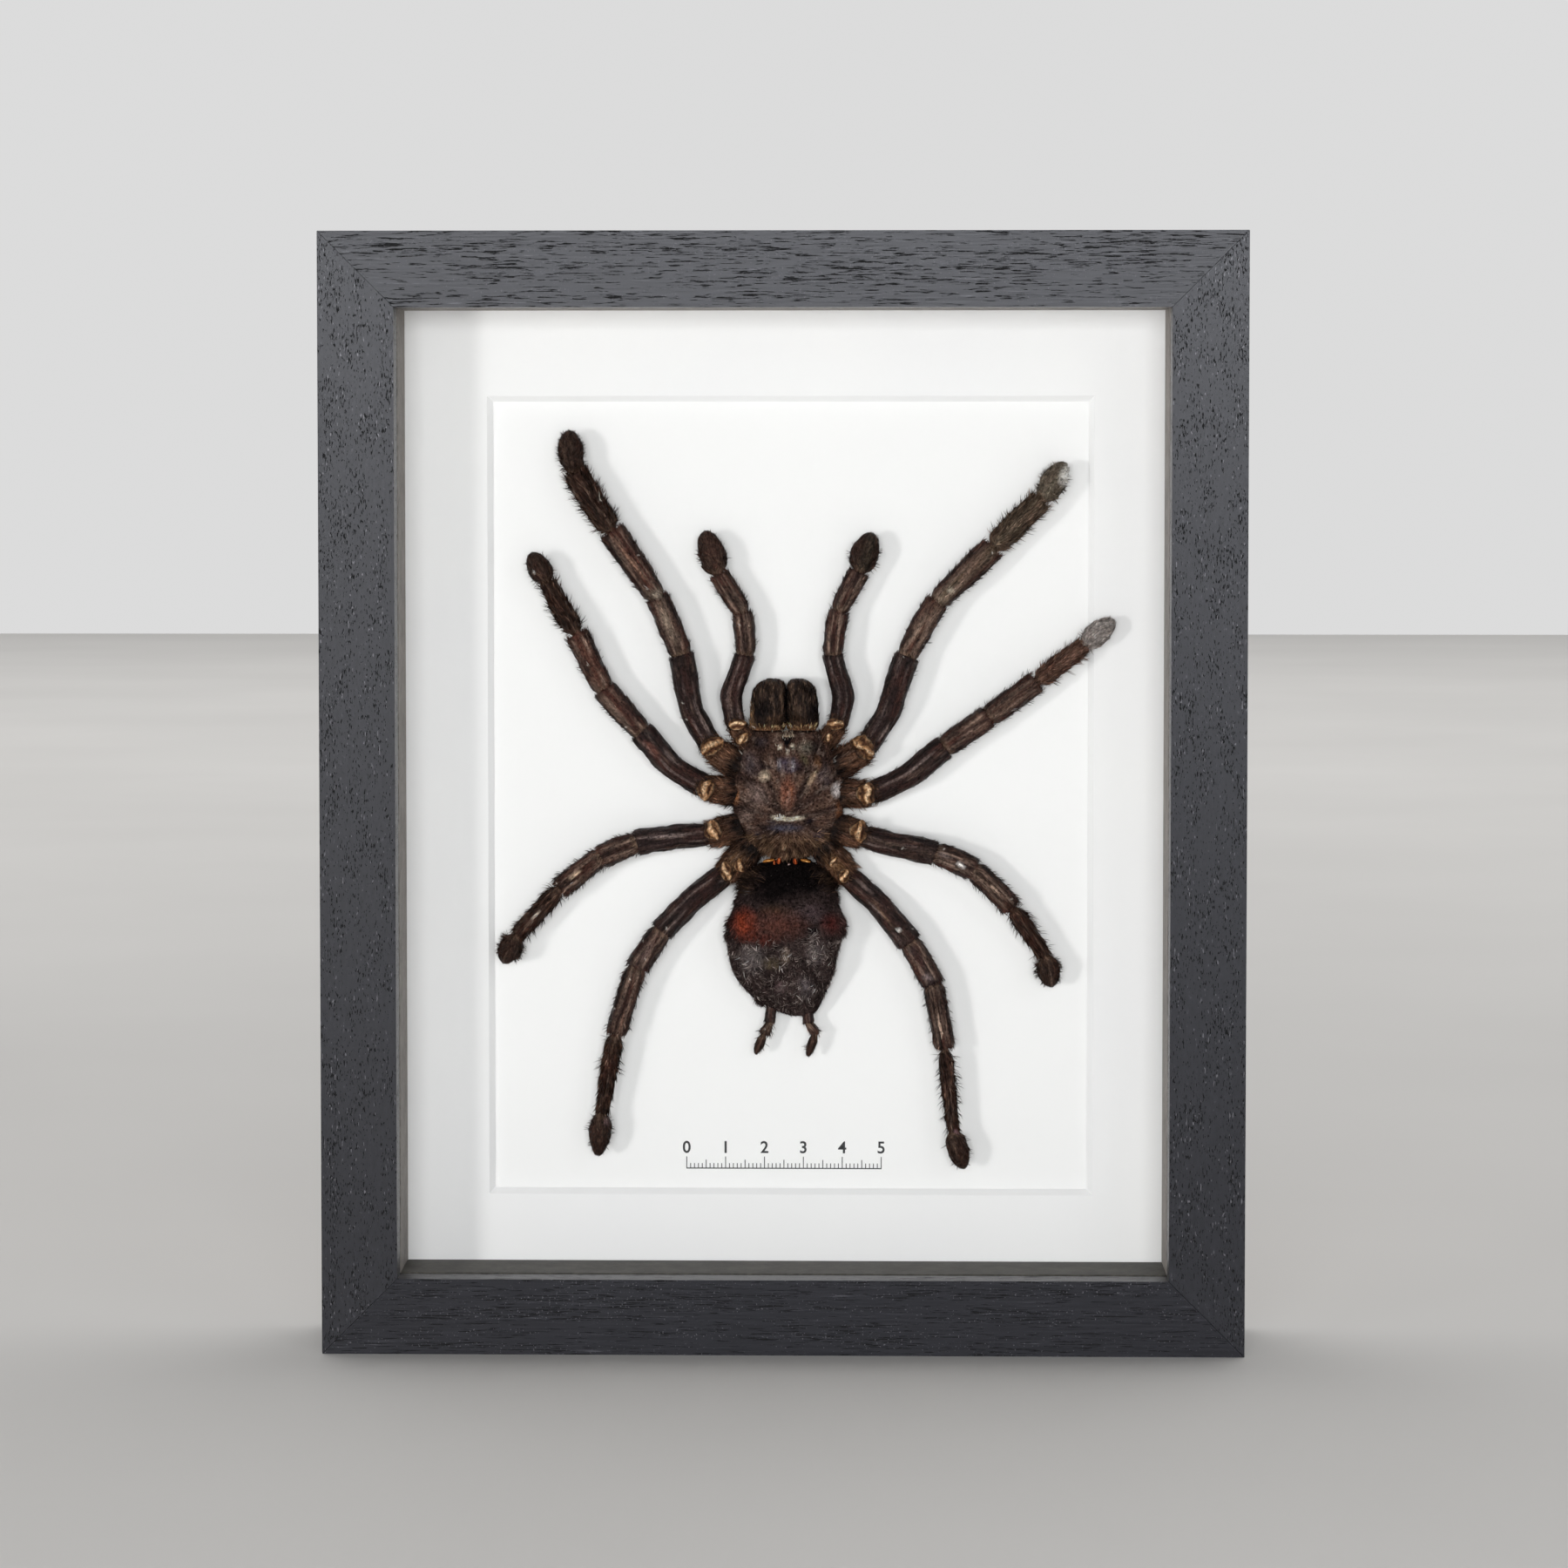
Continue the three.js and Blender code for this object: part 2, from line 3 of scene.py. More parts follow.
import bpy
import numpy as np
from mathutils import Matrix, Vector


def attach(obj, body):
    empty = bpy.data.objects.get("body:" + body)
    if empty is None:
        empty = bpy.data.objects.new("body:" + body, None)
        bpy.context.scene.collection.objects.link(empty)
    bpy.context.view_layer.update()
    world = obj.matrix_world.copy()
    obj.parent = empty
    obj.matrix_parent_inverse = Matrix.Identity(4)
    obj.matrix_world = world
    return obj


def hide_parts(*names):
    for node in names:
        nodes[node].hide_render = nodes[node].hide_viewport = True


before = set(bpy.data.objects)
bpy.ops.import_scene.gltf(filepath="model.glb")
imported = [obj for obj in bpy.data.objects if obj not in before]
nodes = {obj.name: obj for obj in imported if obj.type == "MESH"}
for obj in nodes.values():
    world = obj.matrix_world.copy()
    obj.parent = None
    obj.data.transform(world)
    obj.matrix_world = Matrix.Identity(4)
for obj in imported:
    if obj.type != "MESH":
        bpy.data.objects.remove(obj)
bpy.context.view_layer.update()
MM = 0.001

# ---------------------------------------------------------------------------------------------
# Moulding: four rails of open-pored ash, mitred and glued at the corners, stained black and
# sealed with one thin satin coat, so that the pores stay open and the arrises are a little worn.


def finish(name):
    """A new material: gives it, its node tree and its main shader."""
    made = bpy.data.materials.new(name)
    made.use_nodes = True
    return made, made.node_tree, made.node_tree.nodes["Principled BSDF"]


def put(tree, kind, inputs, out=0, **settings):
    """Adds a shader node, fills its inputs by name or number, and gives one of its outputs."""
    made = tree.nodes.new("ShaderNode" + kind)
    for key, value in settings.items():
        setattr(made, key, value)
    for key, value in inputs.items():
        if isinstance(value, bpy.types.NodeSocket):
            tree.links.new(value, made.inputs[key])
        else:
            made.inputs[key].default_value = value
    return made.outputs[out]


def shade(red, green, blue):
    """A colour as seen on a screen, from 0 to 255 a channel, as the light it sends back."""
    seen = np.array([red, green, blue], float) / 255
    light = np.where(seen <= 0.04045, seen / 12.92, ((seen + 0.055) / 1.055) ** 2.4)
    return (*light.tolist(), 1.0)


def ramp(tree, value, stops):
    """Turns a value into the colours or the greys of the stops, each (place, colour or grey)."""
    made = tree.nodes.new("ShaderNodeValToRGB")
    tree.links.new(value, made.inputs["Fac"])
    while len(made.color_ramp.elements) < len(stops):
        made.color_ramp.elements.new(0.5)
    for element, (place, colour) in zip(made.color_ramp.elements, stops):
        element.position = place
        element.color = colour if isinstance(colour, tuple) else (colour, colour, colour, 1)
    return made.outputs["Color"]


def grain_space(tree, stretch):
    """The place on the object, in metres, times the stretch of each axis."""
    place = put(tree, "TexCoord", {}, out=3)
    return put(tree, "Mapping", {"Vector": place, "Scale": stretch})


def spread(tree, value, low, high, start=0.0, end=1.0):
    """Spreads a value that runs from start to end between low and high."""
    return put(tree, "MapRange", {"Value": value, "From Min": start, "From Max": end,
                                  "To Min": low, "To Max": high})


def noise(tree, stretch, detail, roughness=0.5, **more):
    """Noise over the object. stretch is its cells per metre along each axis, or along all three."""
    stretch = stretch if isinstance(stretch, tuple) else (stretch,) * 3
    return put(tree, "TexNoise", {"Vector": grain_space(tree, stretch), "Scale": 1.0,
                                  "Detail": detail, "Roughness": roughness, **more})


def mix(tree, amount, first, second, **settings):
    """The first colour, and the second one where the amount is 1."""
    return put(tree, "Mix", {0: amount, 6: first, 7: second}, out=2, data_type="RGBA", **settings)


def coat(tree, shader, colour, rough, specular, height=None, strength=0.0, depth=0.0):
    """Joins a colour and a roughness to the main shader, with its specular level, and a relief of
    that strength and depth in millimetres where a height is given."""
    tree.links.new(colour, shader.inputs["Base Color"])
    tree.links.new(rough, shader.inputs["Roughness"])
    shader.inputs["Specular IOR Level"].default_value = specular
    if height is not None:
        bump = put(tree, "Bump", {"Strength": strength, "Distance": depth * MM, "Height": height})
        tree.links.new(bump, shader.inputs["Normal"])


def dress(node, material):
    """Gives a piece of the frame its material."""
    nodes[node].data.materials.clear()
    nodes[node].data.materials.append(material)


def black_ash(name, along, across, thick, pale_speck_amount, pore, gloss):
    """Black stained ash: the grain's cells per metre in each direction, and how many pale specks
    the pores show, part dust and part painted glints on their edges. Its stain also carries painted
    glints where its ripple runs high.
    """
    made, tree, shader = finish(name)
    pores = noise(tree, (along, across, thick), 3.0, 0.6, Distortion=0.1)
    bands = noise(tree, (along * 0.09, across * 0.11, thick * 0.11), 2.0, 0.55)
    crowded = spread(tree, bands, -0.05, 0.03, 0.4, 0.6)
    lifted = put(tree, "Math", {0: pores, 1: crowded}, operation="SUBTRACT")
    pits = ramp(tree, lifted, [(0.39, 0.0), (0.41, 1.0)])
    ripple = noise(tree, (along * 0.35, across * 0.45, thick * 0.45), 4.0, 0.6)
    stain = ramp(tree, ripple, [(0.3, shade(32, 32, 37)), (0.7, shade(43, 43, 49))])
    # Painted glints: where the ripple runs high, the stain is lightened towards a pale grey.
    lightening = ramp(tree, ripple, [(0.66, 0.0), (0.74, 0.5)])
    stain_with_glints = mix(tree, lightening, stain, shade(112, 111, 118))
    # Pale specks in the pores: part dust, part painted glints where light catches the pore edges.
    stopped = noise(tree, (across * 0.75, across * 0.75, thick * 0.75), 1.0)
    filled = put(tree, "Math", {0: stopped, 1: crowded}, operation="ADD")
    dust = ramp(tree, filled, [(0.69, 0.0), (0.73, pale_speck_amount)])
    colour = mix(tree, dust, mix(tree, pits, pore, stain_with_glints), shade(150, 148, 156))
    height = put(tree, "Math", {0: ripple, 1: 0.35, 2: pits}, operation="MULTIPLY_ADD")
    coat(tree, shader, colour, spread(tree, pits, 1.0, 0.38), gloss, height, 0.6, 0.2)
    return made


ARRIS = 0.35
SHARPEST_EASED = 40
DEEP_PORES, CLOSED_PORES = shade(6, 6, 7), shade(21, 21, 23)

level_ash = black_ash("black_ash_level", 220.0, 3200.0, 3200.0, 0.12, DEEP_PORES, 0.9)
upright_ash = black_ash("black_ash_upright", 3000.0, 3000.0, 800.0, 0.45, DEEP_PORES, 0.9)
closed_ash = black_ash("black_ash_closed", 150.0, 3000.0, 3000.0, 0.4, CLOSED_PORES, 0.65)
for rail, made in {"rail_top": level_ash, "rail_bottom": closed_ash, "rail_left": upright_ash,
                   "rail_right": upright_ash}.items():
    dress(rail, made)
    eased = nodes[rail].modifiers.new("eased_arris", "BEVEL")
    eased.width = ARRIS * MM
    eased.segments = 2
    eased.limit_method = "ANGLE"
    eased.angle_limit = math.radians(SHARPEST_EASED)
    eased.harden_normals = True

# ---------------------------------------------------------------------------------------------
# Pane: one sheet of 2 mm low-glare picture glass, dropped in behind the lip of the moulding.
# It is clean and clear, with the faint green of float glass in its edge.

FLOAT_GLASS_TINT = (0.985, 0.995, 0.99, 1)
LOW_GLARE_IOR = 1.12

pane_glass, tree, shader = finish("picture_glass")
shader.inputs["Base Color"].default_value = FLOAT_GLASS_TINT
shader.inputs["Roughness"].default_value = 0.0
shader.inputs["IOR"].default_value = LOW_GLARE_IOR
shader.inputs["Transmission Weight"].default_value = 1.0
dress("glass", pane_glass)
nodes["glass"].visible_shadow = False
nodes["glass"].visible_diffuse = False
nodes["glass"].visible_glossy = False

# ---------------------------------------------------------------------------------------------
# Spacers: four planed wooden fillets, stained grey-brown, that stand on edge round the inside of
# the case and hold the mat back from the glass.


def fillet(name, deep, main, pale):
    """Planed wood stained grey, with lines along the grain, in three tones."""
    made, tree, shader = finish(name)
    streaks = noise(tree, 160.0, 2.0)
    lines = noise(tree, (700.0, 2400.0, 700.0), 3.0, 0.6)
    both = put(tree, "Math", {0: streaks, 1: 0.5, 2: lines}, operation="MULTIPLY_ADD")
    tones = ramp(tree, both, [(0.45, deep), (0.75, main), (1.0, pale)])
    coat(tree, shader, tones, spread(tree, lines, 0.5, 0.75), 0.25, lines, 0.4, 0.08)
    return made


grey_fillet = fillet("grey_fillet_wood", shade(108, 103, 99), shade(142, 136, 131),
                     shade(162, 156, 150))
# The bottom fillet takes a darker copy of the same stain: painted shade.
shaded_fillet = fillet("dark_fillet_wood", shade(62, 60, 56), shade(84, 81, 76), shade(104, 100, 94))
for side in ("top", "bottom", "left", "right"):
    dress("spacer_" + side, shaded_fillet if side == "bottom" else grey_fillet)

# ---------------------------------------------------------------------------------------------
# Window mat and card: white museum board, 1.4 mm thick, its window cut with a bevelled edge that
# shows the whiter core, and the smooth white card behind it that carries the spider.


def board(name, pale, deep, tooth):
    """Paper board: a faint cloudiness and a fine tooth of that strength."""
    made, tree, shader = finish(name)
    clouds = ramp(tree, noise(tree, 18.0, 3.0), [(0.3, deep), (0.7, pale)])
    fibres = noise(tree, 2200.0, 4.0, 0.7)
    coat(tree, shader, clouds, spread(tree, fibres, 0.75, 0.95), 0.25, fibres, tooth, 0.05)
    return made


dress("mat", board("white_mat_board", shade(246, 246, 246), shade(243, 243, 244), 0.3))
dress("card", board("white_card", shade(249, 249, 249), shade(247, 247, 247), 0.15))

# ---------------------------------------------------------------------------------------------
# Printed scale: a plain 50 mm rule with a tick at each millimetre and the numerals 0 to 5,
# screen printed in dark grey ink on the lower part of the card.

CARD_FACE_Y = 8.5
SCALE_MIDDLE_X, SCALE_LINE_Z = -0.1, 42.6
SCALE_LENGTH = 50
INK_DEPTH = 0.04
FILM_UNDER = 0.005
LINE_HALF, TICK_HALF, LINE_OVERHANG = 0.14, 0.11, 0.09
TICK_LENGTHS, SHORT_TICK = {0: 3.0, 5: 2.2}, 1.3
NUMERAL_SIZE, NUMERAL_WEIGHT, NUMERAL_Z = 4.3, 0.07, 46.6

printing_ink, tree, shader = finish("printing_ink")
tooth = noise(tree, 2600.0, 3.0)
coat(tree, shader, ramp(tree, tooth, [(0.35, shade(44, 44, 46)), (0.75, shade(72, 72, 74))]),
     spread(tree, tooth, 0.6, 0.85), 0.5)


def dot(first, second):
    """The dot product of each pair of vectors."""
    return np.einsum("ij,ij->i", first, second)


def mesh_piece(name, points, triangles, material, smooth=True, slot=None, **fields):
    """Makes a mesh from points in millimetres (X, Y, Z), turns its faces outwards, adds the fields
    (a value, vector or colour for each point) and rides it on the case."""
    corners = points[triangles]
    volume = dot(corners[:, 0], np.cross(corners[:, 1], corners[:, 2])).sum()
    if volume < 0:
        triangles = triangles[:, ::-1]
    count = len(triangles)
    mesh = bpy.data.meshes.new(name)
    mesh.vertices.add(len(points))
    mesh.vertices.foreach_set("co", (points * MM).astype(np.float32).ravel())
    mesh.loops.add(count * 3)
    mesh.loops.foreach_set("vertex_index", triangles.astype(np.int32).ravel())
    mesh.polygons.add(count)
    mesh.polygons.foreach_set("loop_start", np.arange(0, count * 3, 3, dtype=np.int32))
    mesh.polygons.foreach_set("use_smooth", np.full(count, smooth))
    mesh.update(calc_edges=True)
    for field, values in fields.items():
        if values.shape[1] == 4:
            kind, key = "FLOAT_COLOR", "color"
        else:
            kind, key = "FLOAT_VECTOR", "vector"
        made = mesh.attributes.new(field, kind, "POINT")
        made.data.foreach_set(key, values.astype(np.float32).ravel())
    mesh.materials.append(material)
    piece = bpy.data.objects.new(name, mesh)
    bpy.context.scene.collection.objects.link(piece)
    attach(piece, "root")
    return piece


def ink_bar(x0, x1, z0, z1):
    """A thin printed bar on the card, as a closed film of ink."""
    y0, y1 = CARD_FACE_Y - INK_DEPTH, CARD_FACE_Y - FILM_UNDER
    points = np.array([(x, y, z) for y in (y0, y1) for z in (z0, z1) for x in (x0, x1)])
    sides = ((0, 1, 3, 2), (4, 6, 7, 5), (0, 4, 5, 1), (2, 3, 7, 6), (0, 2, 6, 4), (1, 5, 7, 3))
    return points, np.array([t for a, b, c, d in sides for t in ((a, b, c), (a, c, d))])


def gather(parts):
    """Joins lists of (points, triangles) into one pair."""
    starts = np.cumsum([0] + [len(p) for p, _ in parts[:-1]])
    return (
        np.vstack([p for p, _ in parts]),
        np.vstack([t + s for (_, t), s in zip(parts, starts)]),
    )


def numeral(figure, middle_x, base_z):
    """One printed numeral, from the plain built-in type, as a film of ink."""
    curve = bpy.data.curves.new("numeral_" + figure, "FONT")
    curve.body = figure
    curve.size = NUMERAL_SIZE
    curve.align_x = "CENTER"
    curve.resolution_u = 6
    curve.extrude = INK_DEPTH / 2
    curve.offset = NUMERAL_WEIGHT
    typed = bpy.data.objects.new(curve.name, curve)
    bpy.context.scene.collection.objects.link(typed)
    bpy.context.view_layer.update()
    mesh = typed.to_mesh()
    mesh.calc_loop_triangles()
    flat = np.array([v.co for v in mesh.vertices])
    triangles = np.array([t.vertices for t in mesh.loop_triangles])
    points = np.column_stack(
        [flat[:, 0] + middle_x, CARD_FACE_Y - INK_DEPTH / 2 - flat[:, 2], flat[:, 1] + base_z]
    )
    bpy.data.objects.remove(typed)
    return points, triangles


left_end = SCALE_MIDDLE_X - SCALE_LENGTH / 2
parts = [ink_bar(left_end - LINE_OVERHANG, left_end + SCALE_LENGTH + LINE_OVERHANG,
                 SCALE_LINE_Z - LINE_HALF, SCALE_LINE_Z + LINE_HALF)]
for millimetre in range(SCALE_LENGTH + 1):
    tall = TICK_LENGTHS.get(millimetre % 10, SHORT_TICK)
    x = left_end + millimetre
    parts.append(ink_bar(x - TICK_HALF, x + TICK_HALF, SCALE_LINE_Z + LINE_HALF, SCALE_LINE_Z + tall))
for centimetre in range(SCALE_LENGTH // 10 + 1):
    parts.append(numeral(str(centimetre), left_end + 10 * centimetre, NUMERAL_Z))
mesh_piece("printed_scale", *gather(parts), printing_ink, smooth=False)

# ---------------------------------------------------------------------------------------------
# Spider, front body: a dried carapace with the coxae's underside below it. Domed head part, a
# pit with a brush at the middle, furrows that run out to the legs, and short hair lying outwards.

WAIST_X, WAIST_Z = 1.0, 122.1
ROOT_DEPTH = 0.06
MOST_LIGHT = 0.85
TIP_GAIN = 1.2


def dried_skin(name, low, high, mirror, relief):
    """Dried skin: the tint of its points, broken up by streaks along their "lay", by a mottle and
    by pale dust. low and high are its roughness, and relief is the depth of its wrinkles."""
    made, tree, shader = finish(name)
    tint = put(tree, "Attribute", {}, attribute_name="tint")
    lay = put(tree, "Attribute", {}, out=1, attribute_name="lay")
    streak = put(tree, "TexNoise", {"Vector": lay, "Scale": 1.0, "Detail": 5.0, "Roughness": 0.7})
    mottle = noise(tree, 1500.0, 5.0, 0.7)
    lightening = put(tree, "Math", {0: streak, 1: mottle}, operation="ADD")
    gain = spread(tree, lightening, 0.15, 2.5, 0.8, 1.27)
    toned = put(tree, "VectorMath", {0: tint, "Scale": gain}, operation="SCALE")
    specks = ramp(tree, noise(tree, 2300.0, 2.0), [(0.72, 0.0), (0.78, 0.3)])
    coat(tree, shader, mix(tree, specks, toned, shade(168, 156, 148)),
         spread(tree, mottle, low, high), mirror, lightening, 0.7, relief)
    return made


dried_cuticle = dried_skin("dried_cuticle", 0.2, 0.45, 0.12, 0.5)
matte_hide = dried_skin("matte_hide", 0.6, 0.9, 0.02, 0.4)

bristle, tree, shader = finish("bristle")
tint = put(tree, "Attribute", {}, attribute_name="tint")
patchy = noise(tree, 600.0, 2.0)
gain = spread(tree, patchy, 0.65, 1.4, 0.3, 0.7)
coat(tree, shader, put(tree, "VectorMath", {0: tint, "Scale": gain}, operation="SCALE"),
     spread(tree, patchy, 0.5, 0.75), 0.02)


def placed(points):
    """Turns points of the spider (across, height off the card, forwards) into the case's X, Y, Z."""
    return np.column_stack(
        [points[:, 0] + WAIST_X, CARD_FACE_Y - points[:, 1], points[:, 2] + WAIST_Z]
    )


def smooth_through(knots, places, pull):
    """The smooth line through knots, at places counted in knots from 0."""
    knots = np.asarray(knots, float)
    ends = np.vstack([2 * knots[0] - knots[1], knots, 2 * knots[-1] - knots[-2]])
    slope = pull * (ends[2:] - ends[:-2])
    i = np.clip(np.floor(places).astype(int), 0, len(knots) - 2)
    t = (places - i)[:, None]
    return (
        (2 * t**3 - 3 * t**2 + 1) * knots[i]
        + (t**3 - 2 * t**2 + t) * slope[i]
        + (3 * t**2 - 2 * t**3) * knots[i + 1]
        + (t**3 - t**2) * slope[i + 1]
    )


def lumps(points, size, seed):
    """Smooth random values from 0 to 1 at the points, in lumps of about that size."""
    table = np.random.default_rng(seed).random(4096)
    scaled = points / np.asarray(size, float)
    cell = np.floor(scaled).astype(np.int64)
    part = scaled - cell
    part = part * part * (3 - 2 * part)
    total = np.zeros(len(points))
    for corner in np.ndindex(2, 2, 2):
        at = cell + np.array(corner)
        pick = (at[:, 0] * 73856093) ^ (at[:, 1] * 19349663) ^ (at[:, 2] * 83492791)
        share = np.prod(np.where(np.array(corner) == 1, part, 1 - part), axis=1)
        total += table[pick & 4095] * share
    return total


def held(value):
    """Keeps a value between 0 and 1."""
    return np.clip(value, 0, 1)


def bell(off, width):
    """1 where off is 0, falling softly to nothing over about that width."""
    return np.exp(-((off / width) ** 2))


def blend(tints, colour, amount):
    """Lays a colour over the tints, by an amount from 0 to 1 at each point."""
    amount = held(amount)[:, None]
    return tints * (1 - amount) + np.array(shade(*colour)) * amount


def layered(tints, layers):
    """Lays colours over the tints in turn, each with its amount from 0 to 1 at each point."""
    for colour, amount in layers:
        tints = blend(tints, colour, amount)
    return tints


def all_of(colour, count):
    """One colour, repeated for that many points."""
    return np.tile(np.array(shade(*colour)), (count, 1))


def spot(points, x, z, across, along, turn=0.0, edge=1.0):
    """1 in the middle of an oval seen from above, falling to 0 at its rim."""
    c, s = math.cos(math.radians(turn)), math.sin(math.radians(turn))
    dx, dz = points[:, 0] - x, points[:, 2] - z
    far = np.hypot((dx * c + dz * s) / across, (dz * c - dx * s) / along)
    return held((1 - far) / edge)


def paint(tints, points, spots, seed):
    """Paints a list of ragged ovals (x, z, across, along, turn, edge, colour, amount)."""
    ragged = 0.55 + 0.9 * lumps(points, (0.9, 2.0, 0.9), seed)
    for x, z, across, along, turn, edge, colour, amount in spots:
        tints = blend(tints, colour, spot(points, x, z, across, along, turn, edge) * amount * ragged)
    return tints


def sleeve(rings):
    """Skins rings of points, each ring to the next, and closes both ends on a middle point."""
    rows, around, _ = rings.shape
    points = np.vstack([rings.reshape(-1, 3), rings[0].mean(0), rings[-1].mean(0)])
    row, k = np.meshgrid(np.arange(rows - 1), np.arange(around), indexing="ij")
    a, b = row * around + k, row * around + (k + 1) % around
    c, d = a + around, b + around
    k = np.arange(around)
    turn = (k + 1) % around
    first, last = rows * around, rows * around + 1
    top = (rows - 1) * around
    triangles = np.vstack([
        np.column_stack([a.ravel(), c.ravel(), b.ravel()]),
        np.column_stack([b.ravel(), c.ravel(), d.ravel()]),
        np.column_stack([np.full(around, first), k, turn]),
        np.column_stack([np.full(around, last), top + turn, top + k]),
    ])
    return points, triangles


def body_skin(stations, step, around, belt, square, pull=0.5):
    """A closed skin over stations (forwards, across, half width, top, bottom). belt is the share of
    the height where it is widest, and square is over 1 where the section is boxy."""
    table = np.array(stations, float)
    length = abs(table[-1, 0] - table[0, 0])
    places = np.linspace(0, len(table) - 1, int(length / step))
    line = smooth_through(table, places, pull)
    angle = np.linspace(0, 2 * np.pi, around, endpoint=False)
    c, s = np.cos(angle), np.sin(angle)
    wide = np.sign(c) * np.abs(c) ** (1 / square)
    tall = np.sign(s) * np.abs(s) ** (1 / square)
    rings = []
    for z, x, half, top, bottom in line:
        middle = bottom + belt * (top - bottom)
        reach = np.where(tall > 0, top - middle, middle - bottom)
        rings.append(np.column_stack([x + half * wide, middle + reach * tall, np.full(around, z)]))
    return sleeve(np.array(rings))


def unit(vectors):
    """The vectors, each made one long."""
    return vectors / np.maximum(np.linalg.norm(vectors, axis=1), 1e-6)[:, None]


def fur(points, triangles, density, length, lie, tints, lift, width, seed, stray=0.3, bent=True):
    """Hairs rooted on a skin, in loose tufts: each is a closed three-sided spike, bent at its
    middle or straight. density is in hairs per square millimetre, and lift is the sine of the
    angle that they stand off the skin. All of them are one value, or one for each point."""
    count = len(points)
    density, length, lift, width = [np.broadcast_to(v, count) for v in (density, length, lift, width)]
    lie, tints = np.broadcast_to(lie, (count, 3)), np.broadcast_to(tints, (count, 4))
    dice = np.random.default_rng(seed)
    corners = points[triangles]
    cross = np.cross(corners[:, 1] - corners[:, 0], corners[:, 2] - corners[:, 0])
    area = np.linalg.norm(cross, axis=1) / 2
    volume = dot(corners[:, 0], cross).sum()
    out = cross / np.maximum(2 * area, 1e-12)[:, None] * np.sign(volume)
    want = area * density[triangles].mean(1)
    face = dice.choice(len(triangles), int(want.sum()), p=want / want.sum())
    share = dice.dirichlet((1, 1, 1), len(face))
    root = np.einsum("ij,ijk->ik", share, corners[face])
    vertex = triangles[face, 0]
    normal = out[face]
    along = unit(lie[vertex] - normal * dot(lie[vertex], normal)[:, None])
    rise, girth = lift[vertex, None], width[vertex, None]
    heading = along * np.sqrt(1 - rise**2) + normal * rise
    sway = np.column_stack([lumps(root, 1.1, seed + 61 + k) for k in range(3)]) - 0.5
    heading += 2.4 * stray * sway + dice.normal(0, 0.6 * stray, heading.shape)
    heading += normal * np.maximum(0.05 - dot(heading, normal), 0)[:, None]
    heading = unit(heading)
    size = (length[vertex] * dice.uniform(0.55, 1.25, len(face)))[:, None]
    side = unit(np.cross(heading, normal + 0.01))
    other = np.cross(heading, side)
    if bent:
        knee = root + size * 0.5 * (heading + 0.2 * normal)
        tip = knee + size * 0.5 * (heading - 0.12 * normal)
        stages = ((root - normal * ROOT_DEPTH, girth), (knee, girth * 0.72))
    else:
        tip = root + size * heading
        stages = ((root - normal * ROOT_DEPTH, girth),)
    rows = []
    for base, radius in stages:
        for turn in (0, 1, 2):
            a = turn * 2 * np.pi / 3
            rows.append(base + radius * (math.cos(a) * side + math.sin(a) * other))
    rows.append(tip)
    made = np.stack(rows, axis=1)
    end = 3 * len(stages)
    pattern = [(0, 2, 1)]
    for k in range(3):
        n = (k + 1) % 3
        if bent:
            pattern += [(k, n, n + 3), (k, n + 3, k + 3)]
        pattern.append((end - 3 + k, end - 3 + n, end))
    faces = np.arange(len(face))[:, None, None] * (end + 1) + np.array(pattern)
    tone = np.exp(dice.normal(0, 0.5, len(face)) + 2.4 * (lumps(root, 0.7, seed + 64) - 0.5))
    colour = np.clip(tints[vertex] * tone[:, None], 0, MOST_LIGHT)
    colour = np.repeat(colour[:, None, :], end + 1, axis=1)
    colour[:, end] *= TIP_GAIN
    return made.reshape(-1, 3), faces.reshape(-1, 3), colour.reshape(-1, 4)


def skin_fold(x, z, long, wide, turn, height, tones, seed):
    """A curled flap of dried skin: a plump lens with ridges along it, with a painted highlight on the
    ridges, painted shade between them and darker painted shade in its tuck. tones are
    (deep, main, pale): the painted shade, the skin's own colour and the painted highlight."""
    rows, around = 28, 48
    v = np.linspace(0.04, math.pi - 0.04, rows)[:, None]
    u = np.linspace(0, 2 * np.pi, around, endpoint=False)[None, :]
    wave = np.cos(4 * u + 0.9 * np.sin(2 * v + seed))
    swell = 1 + 0.17 * wave
    a = long * np.cos(v) + 0 * u
    b = wide * np.sin(v) * np.cos(u) * swell + 0.22 * wide * np.sin(v)
    h = 0.6 * wide * np.sin(v) * np.sin(u) * swell + 0.4 * np.sin(v)
    t = math.radians(turn)
    rings = np.stack([x + a * math.cos(t) - b * math.sin(t), height + h,
                      z + a * math.sin(t) + b * math.cos(t)], axis=-1)
    points, triangles = sleeve(rings)
    for size, depth in ((0.8, 0.22), (1.9, 0.5)):
        shake = np.column_stack([lumps(points, size, seed + k) for k in range(3)]) - 0.5
        points += depth * wide * shake
    # The crest sets the painted highlight on the ridges and the painted shade between them.
    crest = np.append(wave.ravel() * np.sin(v).repeat(around), [0, 0])
    crest += 1.3 * (lumps(points, (0.5, 0.6, 0.5), seed + 5) - 0.5)
    deep, main, pale = tones
    # Painted shade in the tuck along both long edges of the flap.
    tuck_shade = np.append((np.abs(np.cos(u)) ** 6 + 0 * v).ravel(), [1, 1])
    tints = layered(all_of(main, len(points)), [
        (deep, 0.1 - crest * 1.1),
        (pale, crest * 1.2 - 0.45),
        ((72, 42, 28), 2.2 * lumps(points, 0.9, seed + 6) - 1.4),
        ((34, 22, 18), tuck_shade),
    ])
    return points, triangles, tints


def folded(points, triangles, tints, folds):
    """Joins a skin and its folds, each of them points, triangles and tints, into one."""
    whole = gather([(points, triangles)] + [(p, t) for p, t, _ in folds])
    return (*whole, np.vstack([tints] + [c for _, _, c in folds]))


